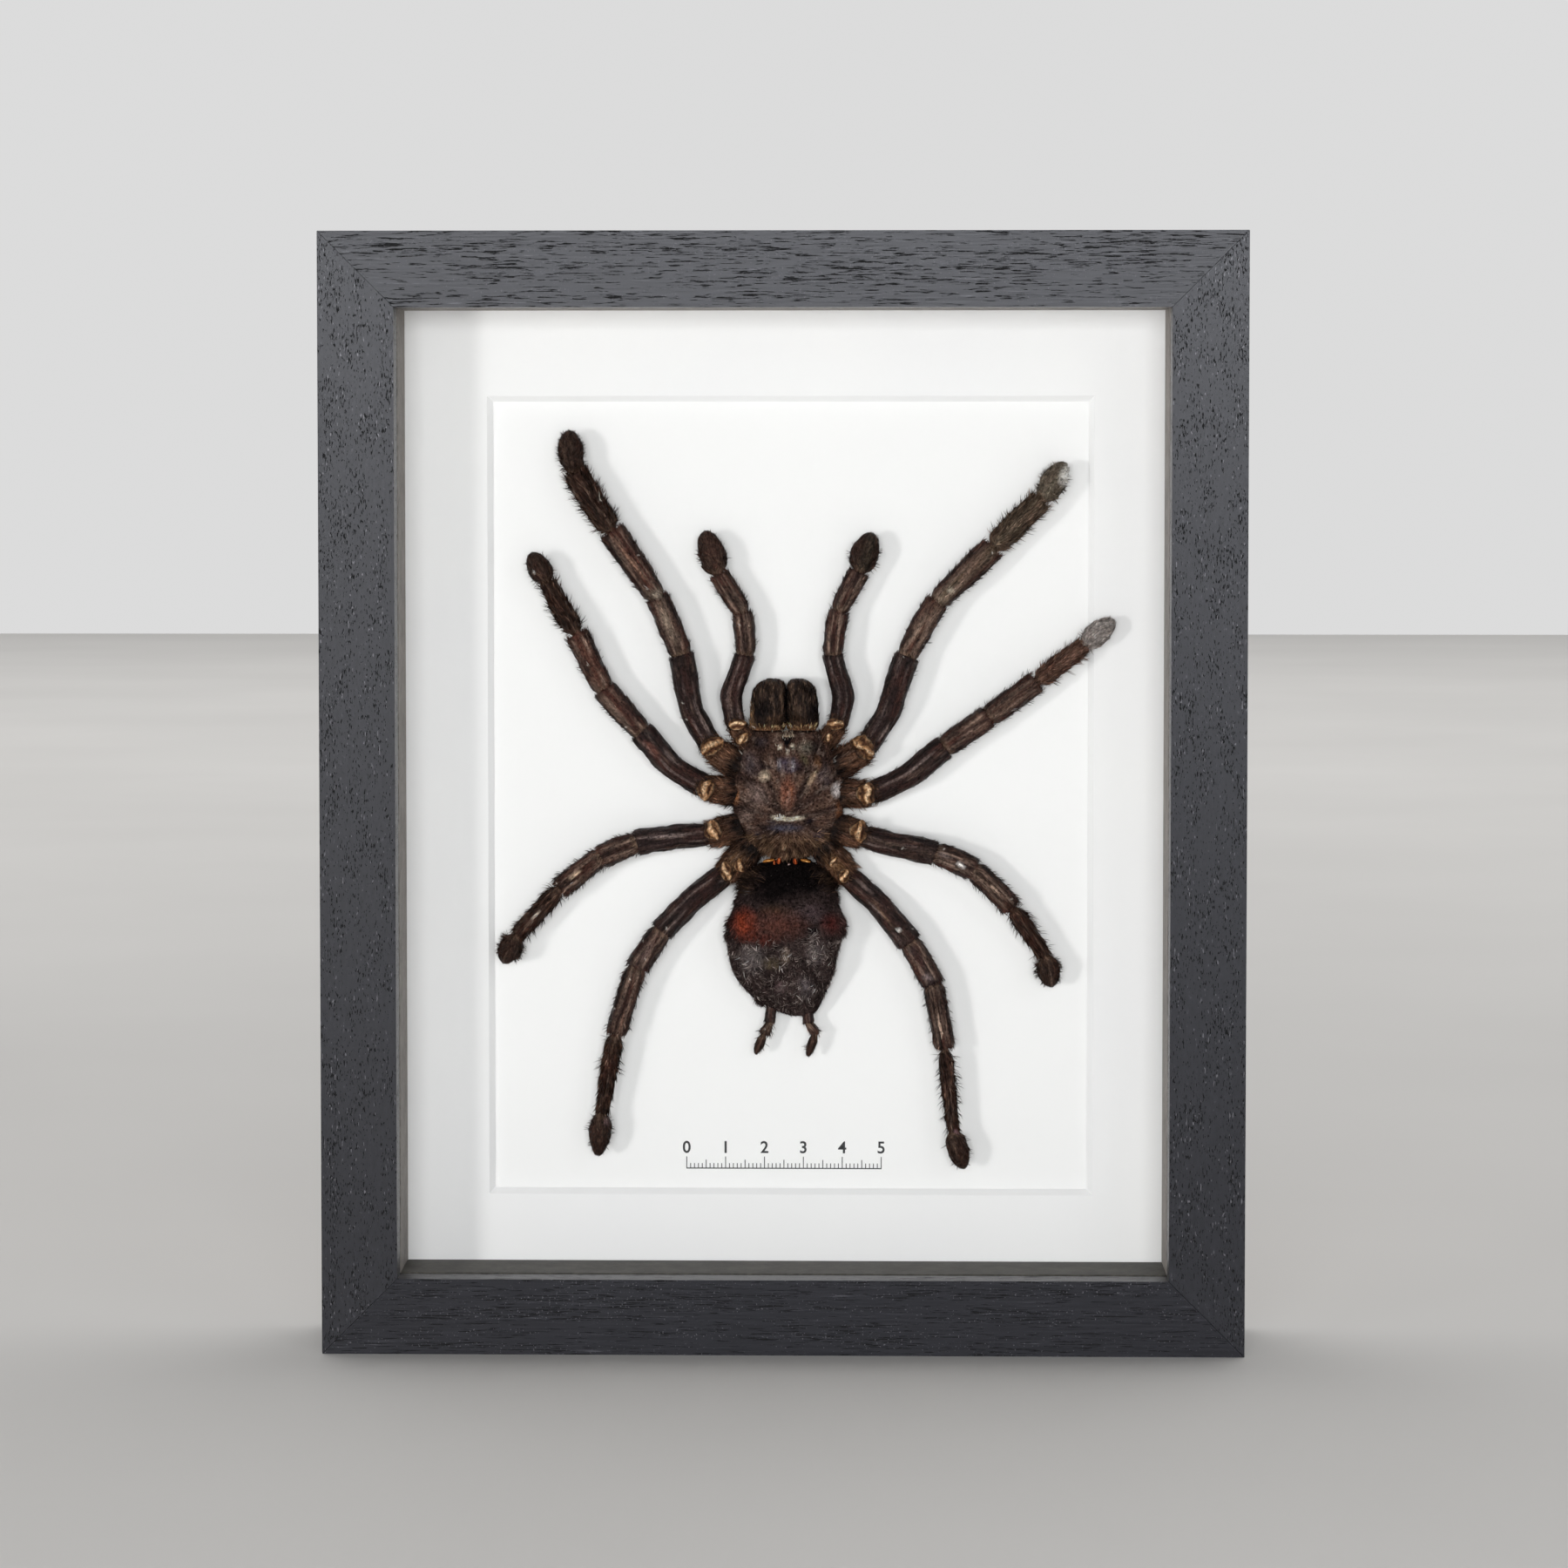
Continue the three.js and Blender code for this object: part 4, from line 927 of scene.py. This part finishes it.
# How each kind of segment is coloured, and what single limbs show that differs from it.
SEGMENT_TINTS = [(96, 68, 52), (36, 25, 24), (44, 29, 26), (46, 30, 26), (44, 31, 25), (43, 31, 26)]
OWN_TINTS = {
    "leg_left_1": {PATELLA: (66, 52, 45), TIBIA: (66, 38, 31)},
    "leg_left_2": {PATELLA: (60, 36, 31), TIBIA: (76, 47, 38)},
    "leg_left_3": {FEMUR: (40, 29, 28), PATELLA: (50, 34, 29), TIBIA: (42, 27, 22),
                   METATARSUS: (50, 34, 29)},
    "leg_left_4": {COXA: (112, 84, 60), PATELLA: (48, 36, 34), METATARSUS: (42, 28, 23)},
    # On the right first leg the lighter olive tibia and metatarsus are painted reflection, and the pale
    # foot is painted glare.
    "leg_right_1": {PATELLA: (76, 58, 49), TIBIA: (82, 69, 56), METATARSUS: (84, 73, 61),
                    TARSUS: (98, 90, 78)},
    # The grey foot of the right second leg is painted glare.
    "leg_right_2": {PATELLA: (58, 40, 35), TIBIA: (66, 48, 41), METATARSUS: (98, 72, 61),
                    TARSUS: (142, 135, 131)},
    "leg_right_3": {FEMUR: (54, 42, 38), PATELLA: (46, 35, 33), TIBIA: (40, 26, 21),
                    METATARSUS: (44, 29, 24)},
    "leg_right_4": {COXA: (116, 86, 60), FEMUR: (48, 36, 33), PATELLA: (46, 36, 36),
                    METATARSUS: (36, 25, 22)},
    "palp_left": {PATELLA: (34, 24, 23), TIBIA: (34, 24, 22), TARSUS: (58, 40, 34)},
    "palp_right": {PATELLA: (50, 33, 30), TIBIA: (44, 29, 27), TARSUS: (45, 38, 31)},
    "spinneret_left": {FEMUR: (60, 42, 37), TIBIA: (62, 42, 36), TARSUS: (60, 41, 35)},
    "spinneret_right": {FEMUR: (58, 40, 36), TIBIA: (60, 42, 37), TARSUS: (58, 40, 35)},
}
# Pale scars and bare lines on single limbs, and painted glints and one painted patch of glare (the
# near-white ovals), as ovals like those on the carapace.
LIMB_MARKS = {
    "leg_left_1": [(-33, 68.5, 1.6, 1.7, 0, 0.9, (150, 138, 124), 0.9),
                   (-30.6, 61.4, 1.5, 6.6, 20, 0.9, (136, 120, 105), 0.85),
                   # Painted glint.
                   (-47.4, 92.4, 0.4, 0.6, 0, 0.7, (210, 200, 188), 0.9),
                   (-39.4, 76.6, 0.5, 6.6, 38, 0.8, (150, 118, 99), 0.9)],
    "leg_left_2": [(-34.5, 29, 1.2, 3.6, 42, 0.9, (112, 72, 62), 0.8),
                   # Painted glint.
                   (-64.4, 73.8, 0.5, 0.5, 0, 0.7, (214, 208, 200), 0.9)],
    "leg_left_3": [(-30, 7, 0.5, 7, -86, 0.8, (138, 122, 118), 0.9),
                   (-54.2, -2.9, 0.45, 2.4, -55, 0.7, (206, 178, 152), 1),
                   (-64, -13.3, 0.4, 1.8, -40, 0.7, (206, 186, 170), 0.9)],
    "leg_left_4": [(-35.6, -22.5, 1, 4.2, -32, 0.9, (104, 84, 78), 0.8),
                   (-42.2, -40.5, 0.4, 3.6, -14, 0.8, (132, 96, 80), 0.8),
                   (-46.2, -66, 0.8, 1.5, 0, 0.9, (108, 86, 86), 0.9)],
    # Painted glare on the foot.
    "leg_right_1": [(70.6, 98.6, 2.3, 3.8, -20, 1, (218, 215, 210), 1),
                    (41.4, 69.4, 1.3, 0.9, 0, 0.8, (176, 166, 150), 0.9),
                    (33.4, 60, 0.6, 5, -30, 0.9, (132, 112, 98), 0.8)],
    "leg_right_2": [(46, 33.6, 0.5, 4, -56, 0.9, (120, 98, 88), 0.8)],
    # Painted glint.
    "leg_right_3": [(44, -0.3, 0.7, 1.6, -125, 0.7, (236, 230, 226), 1),
                    (40, 2.2, 0.8, 2.6, -112, 0.9, (118, 104, 100), 0.8),
                    (52.8, -6.6, 0.35, 2, -140, 0.7, (176, 150, 132), 1)],
    # Painted glint.
    "leg_right_4": [(28.2, -16.8, 0.6, 0.8, -140, 0.7, (240, 236, 230), 1),
                    (24, -12.6, 0.4, 5, -142, 0.8, (116, 92, 76), 0.9),
                    (38.6, -41, 0.4, 4, -168, 0.7, (186, 158, 140), 1),
                    (35.6, -28.9, 2, 1.2, 0, 0.9, (112, 98, 98), 0.8),
                    (42.9, -68.5, 0.7, 0.8, 0, 0.9, (120, 92, 98), 0.9)],
}
# For each kind of segment, how ruddy it is, how much black, hoary and sandy streaking it has, and
# how much painted shade darkens its sides and underside.
STREAKS = [[0.4, 0.4, 0.7, 0.6, 0.35, 0.2], [0.6, 0.9, 0.9, 0.9, 0.7, 0.4],
           [0.8, 0.5, 0.8, 0.8, 0.7, 0.3], [0.8, 0.2, 0.5, 0.5, 0.6, 0.5],
           [0.7, 1.0, 1.0, 1.0, 0.8, 0.7]]
PALE_KNEES = {"leg_left_1": 0.9, "leg_right_1": 0.6}
# For each kind of segment: hairs per square millimetre, their length, width and gain in colour,
# and the density and stand of the fringe on its sides.
HAIR = [[6.0, 1.2, 2.0, 2.4, 4.2, 8.0], [1.7, 0.8, 1.1, 1.3, 2.0, 0.9],
        [0.1, 0.06, 0.08, 0.09, 0.12, 0.08], [1.25, 1.1, 1.15, 1.15, 1.2, 1.15],
        [3.0, 0.35, 0.9, 1.6, 2.6, 1.2], [0.5, 0.5, 0.5, 0.6, 0.75, 0.95]]
RAGGED_FEET = {"leg_left_3": 8.0, "leg_right_3": 9.0, "leg_left_1": 4.5, "leg_right_1": 4.5}
# Feet painted pale, as painted glare: how much of the black streaks and of the painted shade on the
# sides the last two segments keep.
GLARED_FEET = {"leg_right_1": (0.5, 0.35), "leg_right_2": (0.45, 0.12)}


def all_round(rows):
    """Repeats each row for every point of its ring."""
    return np.repeat(rows, SIDES, axis=0)


def limb_skin(joints, heights, segments, girth, slim, seed):
    """A jointed tube with, for each point, its segment, its share along it, its angle round it, the
    millimetres from the joints before and after it, and the way along the limb."""
    knots = np.array([(x, h, z) for (x, z), h in zip(joints, heights)])
    middles, halves, marks = [], [], []
    travelled = 0.0
    for kind, start, end, widths in segments:
        places = np.linspace(start, end, 500)
        line = smooth_through(knots, places, BEND_SOFTNESS)
        run = np.concatenate([[0], np.cumsum(np.linalg.norm(np.diff(line, axis=0), axis=1))])
        reach = run[-1]
        close = np.array([0, 0.1, 0.3, 0.6, 0.9])
        stops = np.concatenate([close, np.arange(1.3, reach - 1.1, RING_STEP), reach - close[::-1]])
        place = np.interp(stops, run, places)
        share = (place - start) / (end - start)
        step = np.interp(share, SHARES, np.arange(len(SHARES)))
        half = smooth_through(np.array(widths)[:, None], step, 0.5)[:, 0]
        if kind >= TIBIA:
            half = half * (1 + (girth - 1) * share)
        if kind == METATARSUS:
            half = half * slim
        neck, fade = NECKS[kind]
        half = half * (1 - neck * bell(stops, fade))
        if kind == TARSUS:
            half = half * np.clip(1 - (held(share - 0.45) / 0.55) ** 2, 0.01, 1) ** 0.55
        else:
            half = half * (1 - 0.1 * bell(reach - stops, 0.22))
        middles.append(smooth_through(knots, place, BEND_SOFTNESS))
        halves.append(half)
        marks.append(np.column_stack([np.full(len(stops), kind), share, stops, reach - stops,
                                      travelled + stops]))
        travelled += reach
    middles, halves, marks = np.vstack(middles), np.concatenate(halves), np.vstack(marks)
    ahead = np.gradient(middles, axis=0)
    for row in np.flatnonzero(np.linalg.norm(ahead, axis=1) < 1e-4):
        ahead[row] = ahead[row - 1]
    steady = unit(ahead)
    side = unit(np.cross(steady, (0.0, 1.0, 0.0)))
    rise = np.cross(side, steady)
    angle = (np.arange(SIDES) + 0.5) / SIDES * 2 * np.pi
    kind, share, before, after, travel = all_round(marks).T
    turn = np.tile(angle, len(middles))
    round_space = np.column_stack([np.cos(turn) * 2, np.sin(turn) * 2, travel / 3.2])
    swell = np.ones(len(turn))
    for n, (depth, stretch) in enumerate(DENTS):
        swell += depth * (lumps(round_space * stretch, 1.0, seed + n) - 0.5)
    top_off = np.degrees(turn) - 90 + 12 * (lumps(travel[:, None] * (1, 0, 0), 6.0, seed + 3) - 0.5)
    shin = np.isin(kind, (PATELLA, TIBIA)) * held(before / 1.5) * held(after / 1.5)
    valley = bell(np.abs(top_off) - 27, 11)
    swell -= 0.085 * shin * valley
    thigh = (kind == FEMUR) * held(before / 2) * held(after / 2)
    crease = bell(np.abs(top_off - 4) - 24, 9) * thigh
    swell -= 0.07 * crease
    brush = np.isin(kind, (METATARSUS, TARSUS))
    shaggy = (0.17 + 0.13 * (kind == TARSUS)) * brush
    swell += shaggy * (lumps(round_space * (4, 4, 2.0), 1.0, seed + 4) - 0.5)
    half = all_round(halves) * swell
    body = all_round(middles) + (half * np.cos(turn))[:, None] * all_round(side)
    body += (half * FLATNESS * np.sin(turn))[:, None] * all_round(rise)
    ragged = 0.5 * (lumps(round_space * (3.0, 3.0, 0.0), 1.0, seed + 5) - 0.5)
    body += (ragged * bell(after, 0.6) * (kind != TARSUS))[:, None] * all_round(steady)
    body[:, 1] = np.maximum(body[:, 1], 0.05)
    points, triangles = sleeve(body.reshape(-1, SIDES, 3))
    ends = [0, -1]
    facts = {
        "kind": kind, "share": share, "before": before, "after": after, "travel": travel,
        "turn": turn, "top_off": top_off, "valley": valley * shin, "crease": crease,
        "half": all_round(halves),
    }
    facts = {k: np.append(v, v[ends]) for k, v in facts.items()}
    facts["ahead"] = np.vstack([all_round(steady), steady[ends]])
    facts["lay"] = np.column_stack([facts["travel"] * 0.4, facts["turn"] * facts["half"] * 2.6,
                                    facts["kind"] * 9.0])
    return points, triangles, facts


def limb_tints(name, facts, points, seed):
    """The colours down a limb: near black thighs, ruddy shins with two pale bare stripes, brown brush
    on the feet, painted shade on the sides and underside and at the hip's inner end, painted glints
    on the upper side, and pale skin in the joints."""
    kind, share, travel = facts["kind"].astype(int), facts["share"], facts["travel"]
    wrap = np.column_stack([np.cos(facts["turn"]) * 3, np.sin(facts["turn"]) * 3, travel / 2.6])
    long_streak = lumps(wrap * (1.6, 1.6, 0.45), 1.0, seed + 10)
    short_streak = lumps(wrap * (3.5, 3.5, 1.2), 1.0, seed + 11)
    thin_streak = lumps(wrap * (5.0, 5.0, 0.5), 1.0, seed + 13)
    warmth = lumps(wrap * (0.8, 0.8, 0.6), 1.0, seed + 12)
    own = [OWN_TINTS.get(name, {}).get(n, colour) for n, colour in enumerate(SEGMENT_TINTS)]
    plain = np.array([shade(*colour) for colour in SEGMENT_TINTS])
    middle = np.exp(-(((facts["top_off"] - 8) / 31) ** 4)) * held(0.5 + 1.1 * long_streak)
    instep, foot = GLARED_FEET.get(name, (1.0, 1.0))
    darker = np.where(kind == TARSUS, foot, np.where(kind == METATARSUS, instep, 1.0))
    middle = np.maximum(middle, 1 - darker)[:, None]
    tints = plain[kind] * (1 - middle) + np.array([shade(*colour) for colour in own])[kind] * middle
    level = np.sin(facts["turn"])
    bare = facts["valley"] * held(1.25 - share * 0.5) * (thin_streak * 2.2 - 0.7)
    root = np.clip(0.62 - share, 0, 0.4) / 0.4 * (kind == COXA)
    skin = bell(facts["before"], 0.8) * (kind >= PATELLA)
    crown = bell(facts["top_off"], 40) * bell(facts["before"], 2.2)
    crown = crown * (kind == TIBIA) * PALE_KNEES.get(name, 0.15)
    dice = np.random.default_rng(seed + 14)
    glint = (dice.random(len(points)) < 0.006) * (level > 0.3) * (kind < METATARSUS)
    ruddy, black, hoary, sandy, flank_shade = np.array(STREAKS)[:, kind]
    tints = layered(tints, [
        ((74, 42, 34), (warmth * 1.8 - 0.7) * ruddy),
        ((12, 9, 9), (long_streak * 2.4 - 1.1) * darker * black),
        ((118, 96, 84), (thin_streak * 3.0 - 1.95) * hoary),
        ((98, 78, 66), (short_streak * 2.2 - 1.25) * sandy),
        ((146, 122, 108), bare * np.where(kind == PATELLA, 0.9, 0.7)),
        ((120, 104, 100), facts["crease"] * (thin_streak * 2.6 - 1.3)),
        # Painted shade on the sides and underside, where less light falls.
        ((22, 16, 15), np.clip(0.62 - level, 0, 0.8) * darker * flank_shade),
        # Painted shade on the inner end of the hip, under the body.
        ((20, 15, 14), root * (0.45 + 0.9 * short_streak)),
        ((118, 96, 80), skin * (0.3 + 0.6 * short_streak) * held(level)),
        ((156, 140, 124), crown * (1.6 * short_streak - 0.3)),
        ((196, 188, 180), glint * (long_streak > 0.63) * 0.7),
    ])
    return paint(tints, points, LIMB_MARKS.get(name, []), seed + 15)


def build_limb(name, joints, heights, segments, girth, slim, seed):
    """Makes one limb's skin with its hip folds, and its hair as a piece of its own."""
    points, triangles, facts = limb_skin(joints, heights, segments, girth, slim, seed)
    tints = limb_tints(name, facts, points, seed)
    kind = facts["kind"].astype(int)
    level = np.sin(facts["turn"])
    thick, long, wide, gain, side_thick, stand = np.array(HAIR)[:, kind]
    side_thick = np.where(kind == TARSUS, RAGGED_FEET.get(name, side_thick), side_thick)
    thick = thick * (1 - 0.75 * facts["valley"]) * np.where(level < -0.6, 0.25, 1)
    rooted = np.clip(facts["before"] / 1.1, 0.1, 1)
    thick = thick * rooted * np.where(kind == TARSUS, 1, np.clip(facts["after"] / 1.3, 0.1, 1))
    long = long * np.where(kind == TARSUS, 1.15 - 0.5 * facts["share"], 1)
    hair_tints = tints * gain[:, None]
    fringe = held(1 - np.abs(level) * 0.9) ** 2 * side_thick
    fringe = fringe * (lumps(facts["travel"][:, None] * (1, 0, 0), 1.3, seed + 6) > 0.42)
    fringe_long = long * np.where(kind == TARSUS, 1.6, 1.15)
    cuff = bell(facts["after"], 0.6) * (kind > COXA) * (kind < TARSUS)
    cuff = cuff * held(level + 0.6)
    ahead = facts["ahead"]
    hairs = [
        fur(points, triangles, thick, long, ahead, hair_tints,
            lift=0.2, width=wide, seed=seed + 20, stray=0.22, bent=False),
        fur(points, triangles, fringe, fringe_long, ahead, tints * 1.3 + 0.003,
            lift=stand, width=0.08, seed=seed + 21),
        fur(points, triangles, 7.0 * cuff, long, ahead, hair_tints * 1.2,
            lift=0.3, width=0.065, seed=seed + 22),
    ]
    folds = []
    for n, (x, z, fold_long, fold_wide, turn) in enumerate(FOLDS.get(name, [])):
        folds.append(skin_fold(x, z, fold_long, fold_wide, turn, FOLD_HEIGHT, TAN_TONES, seed * 3 + n))
        inwards = np.column_stack([x - points[:, 0], points[:, 0] * 0, z - points[:, 2]])
        near = np.exp(-((np.hypot(inwards[:, 0], inwards[:, 2]) - fold_wide - 0.9) ** 2) / 0.8)
        hairs.append(fur(points, triangles, 5.0 * near * (level > 0), 1.3, inwards,
                         shade(74, 54, 42), lift=0.7, width=0.065, seed=seed + 23 + n))
    skin_points, skin_triangles, skin_tints = folded(points, triangles, tints, folds)
    lay = np.vstack([facts["lay"], skin_points[len(points):] * 2.2])
    skin_piece(name, skin_points, skin_triangles, skin_tints, lay, dried_cuticle)
    fur_piece(name + "_hair", hairs)


for order, (name, (girth, slim, joints)) in enumerate(LEGS.items()):
    build_limb(name, joints, LEG_HEIGHTS, LEG_SEGMENTS, girth, slim, 100 + 40 * order)
for order, (name, joints) in enumerate(PALPS.items()):
    build_limb(name, joints, PALP_HEIGHTS, PALP_SEGMENTS, 1.0, 1.0, 500 + 40 * order)

# ---------------------------------------------------------------------------------------------
# Spider, spinnerets: the two long, jointed, finger-like spinnerets under the end of the abdomen.

SPINNERET_SEGMENTS = [
    (FEMUR, 0, 1, [1.6, 1.5, 1.4, 1.5]), (TIBIA, 1, 2, [1.2, 1.25, 1.3, 1.35]),
    (TARSUS, 2, 3, [1.2, 1.2, 1.1, 0.95]),
]
SPINNERETS = {
    "spinneret_left": [(-4, -36), (-4.7, -41.3), (-6.1, -44.2), (-8.3, -49.2)],
    "spinneret_right": [(5, -36), (5.3, -41.3), (6.9, -44.0), (5.1, -49.8)],
}
SPINNERET_HEIGHTS = [3.6, 4.4, 4.8, 5.0]
for order, (name, joints) in enumerate(SPINNERETS.items()):
    build_limb(name, joints, SPINNERET_HEIGHTS, SPINNERET_SEGMENTS, 1.0, 1.0, 700 + 40 * order)

# ---------------------------------------------------------------------------------------------
# Back: brown hardboard, rough-planed on its outside, held by eight springy steel tabs pushed into
# the rails, and a sawtooth hanger nailed to the top rail.

hardboard, tree, shader = finish("hardboard")
felted = noise(tree, 900.0, 5.0, 0.7)
flecks = put(tree, "TexVoronoi", {"Vector": grain_space(tree, (420.0,) * 3), "Scale": 1.0})
both = put(tree, "Math", {0: flecks, 1: 0.35, 2: felted}, operation="MULTIPLY_ADD")
browns = ramp(tree, both, [(0.35, shade(92, 62, 40)), (0.6, shade(128, 92, 62)),
                           (0.9, shade(152, 116, 84))])
coat(tree, shader, browns, spread(tree, felted, 0.6, 0.9), 0.5, both, 0.5, 0.1)
dress("back_board", hardboard)

plated_steel, tree, shader = finish("plated_steel")
brushed = noise(tree, (500.0, 500.0, 6000.0), 3.0)
greys = ramp(tree, brushed, [(0.3, shade(150, 148, 142)), (0.7, shade(188, 186, 180))])
shader.inputs["Metallic"].default_value = 1.0
coat(tree, shader, greys, spread(tree, brushed, 0.28, 0.5), 0.5, brushed, 0.2, 0.05)
for node in nodes:
    if node.startswith(("tab_", "hanger")):
        dress(node, plated_steel)

# ---------------------------------------------------------------------------------------------
# Stage: a pale floor, soft light from the upper left and above, a dim room in front, and a camera
# level with the upper half of the case.

FLOOR_HALF = 4
floor_corners = [(x * FLOOR_HALF, y * FLOOR_HALF, 0) for x, y in ((-1, -1), (1, -1), (1, 1), (-1, 1))]
floor_mesh = bpy.data.meshes.new("floor")
floor_mesh.from_pydata(floor_corners, [], [(0, 1, 2, 3)])
floor = bpy.data.objects.new("floor", floor_mesh)
bpy.context.scene.collection.objects.link(floor)
floor.visible_glossy = False
pale_floor, tree, shader = finish("pale_floor")
clouds = ramp(tree, noise(tree, 3.0, 3.0), [(0.3, shade(222, 220, 217)), (0.7, shade(228, 226, 223))])
tree.links.new(clouds, shader.inputs["Base Color"])
shader.inputs["Roughness"].default_value = 0.9
floor_mesh.materials.append(pale_floor)


def soft_box(name, place, aim, size, power, colour):
    """A soft light at a place, turned to a point, with its size in metres and power in watts."""
    lamp = bpy.data.lights.new(name, "AREA")
    lamp.shape = "RECTANGLE"
    lamp.size, lamp.size_y = size
    lamp.energy = power
    lamp.color = colour
    made = bpy.data.objects.new(name, lamp)
    made.location = place
    made.rotation_euler = (Vector(aim) - Vector(place)).to_track_quat("-Z", "Y").to_euler()
    made.visible_camera = False
    bpy.context.scene.collection.objects.link(made)
    return made


CASE_MIDDLE = (0, 0, 0.14)
WARM, COOL, WHITE, SKY = (1, 0.985, 0.965), (0.97, 0.98, 1), (1, 1, 1), (0.92, 0.95, 1)

soft_box("key_left", (-1.35, -1.7, 0.12), CASE_MIDDLE, (0.26, 0.26), 11.0, WARM)
soft_box("fill_right", (1.1, -1.5, 0.9), CASE_MIDDLE, (0.7, 0.7), 2.5, COOL)
soft_box("over_floor", (0, 2.2, 2.2), (0, 2.2, 0), (6.5, 4.4), 108.0, WHITE)
even_front = soft_box("even_front", (0, -1.9, 0.3), CASE_MIDDLE, (1.0, 0.7), 23.0, WHITE)
even_front.visible_glossy = False
window = soft_box("window_sheen", (0.2, -2.0, 0.98), (0.2, 0, 0.98), (2.2, 1.1), 32.0, SKY)
window.visible_diffuse = False

PLAIN_WALL = 5.1
ROOM_LIGHT = 0.14

world = bpy.data.worlds.new("studio")
bpy.context.scene.world = world
world.use_nodes = True
tree = world.node_tree
sky = tree.nodes["Background"]
heading = put(tree, "TexCoord", {}, out=0)
forwards = put(tree, "SeparateXYZ", {0: heading}, out=1)
upwards = put(tree, "SeparateXYZ", {0: heading}, out=2)
room = ramp(tree, spread(tree, forwards, 0.0, 1.0, -1.0, 1.0),
            [(0.0, 0.1), (0.2, 0.35), (0.6, 0.7), (1.0, 0.75)])
ceiling = ramp(tree, spread(tree, upwards, 0.0, 1.0, -1.0, 1.0),
               [(0.4, 0.15), (0.5, 0.4), (0.8, 1.0)])
lit = mix(tree, 1.0, room, ceiling, blend_type="MULTIPLY")
plain = put(tree, "LightPath", {})
tree.links.new(mix(tree, plain, lit, (PLAIN_WALL,) * 3 + (1,)), sky.inputs["Color"])
sky.inputs["Strength"].default_value = ROOM_LIGHT

LENS = 94.3
CAMERA_PLACE = (0.0197, -1.0406, 0.2274)
CAMERA_SHIFT_Y = -0.1
STRAIGHT_SHIFT_X, STRAIGHT_SHIFT_Y = -0.0494, -0.2137
SENSOR = 36.0

camera_data = bpy.data.cameras.new("camera")
camera_data.lens = LENS
camera_data.sensor_width = SENSOR
camera_data.shift_y = CAMERA_SHIFT_Y
camera = bpy.data.objects.new("camera", camera_data)
camera.location = CAMERA_PLACE
pitch = math.atan((STRAIGHT_SHIFT_Y - CAMERA_SHIFT_Y) * SENSOR / LENS)
yaw = -math.atan(STRAIGHT_SHIFT_X * SENSOR / LENS)
camera.rotation_euler = (math.pi / 2 + pitch, 0, yaw)
bpy.context.scene.collection.objects.link(camera)
bpy.context.scene.camera = camera
bpy.context.scene.view_settings.view_transform = "Standard"
bpy.context.scene.view_settings.look = "None"
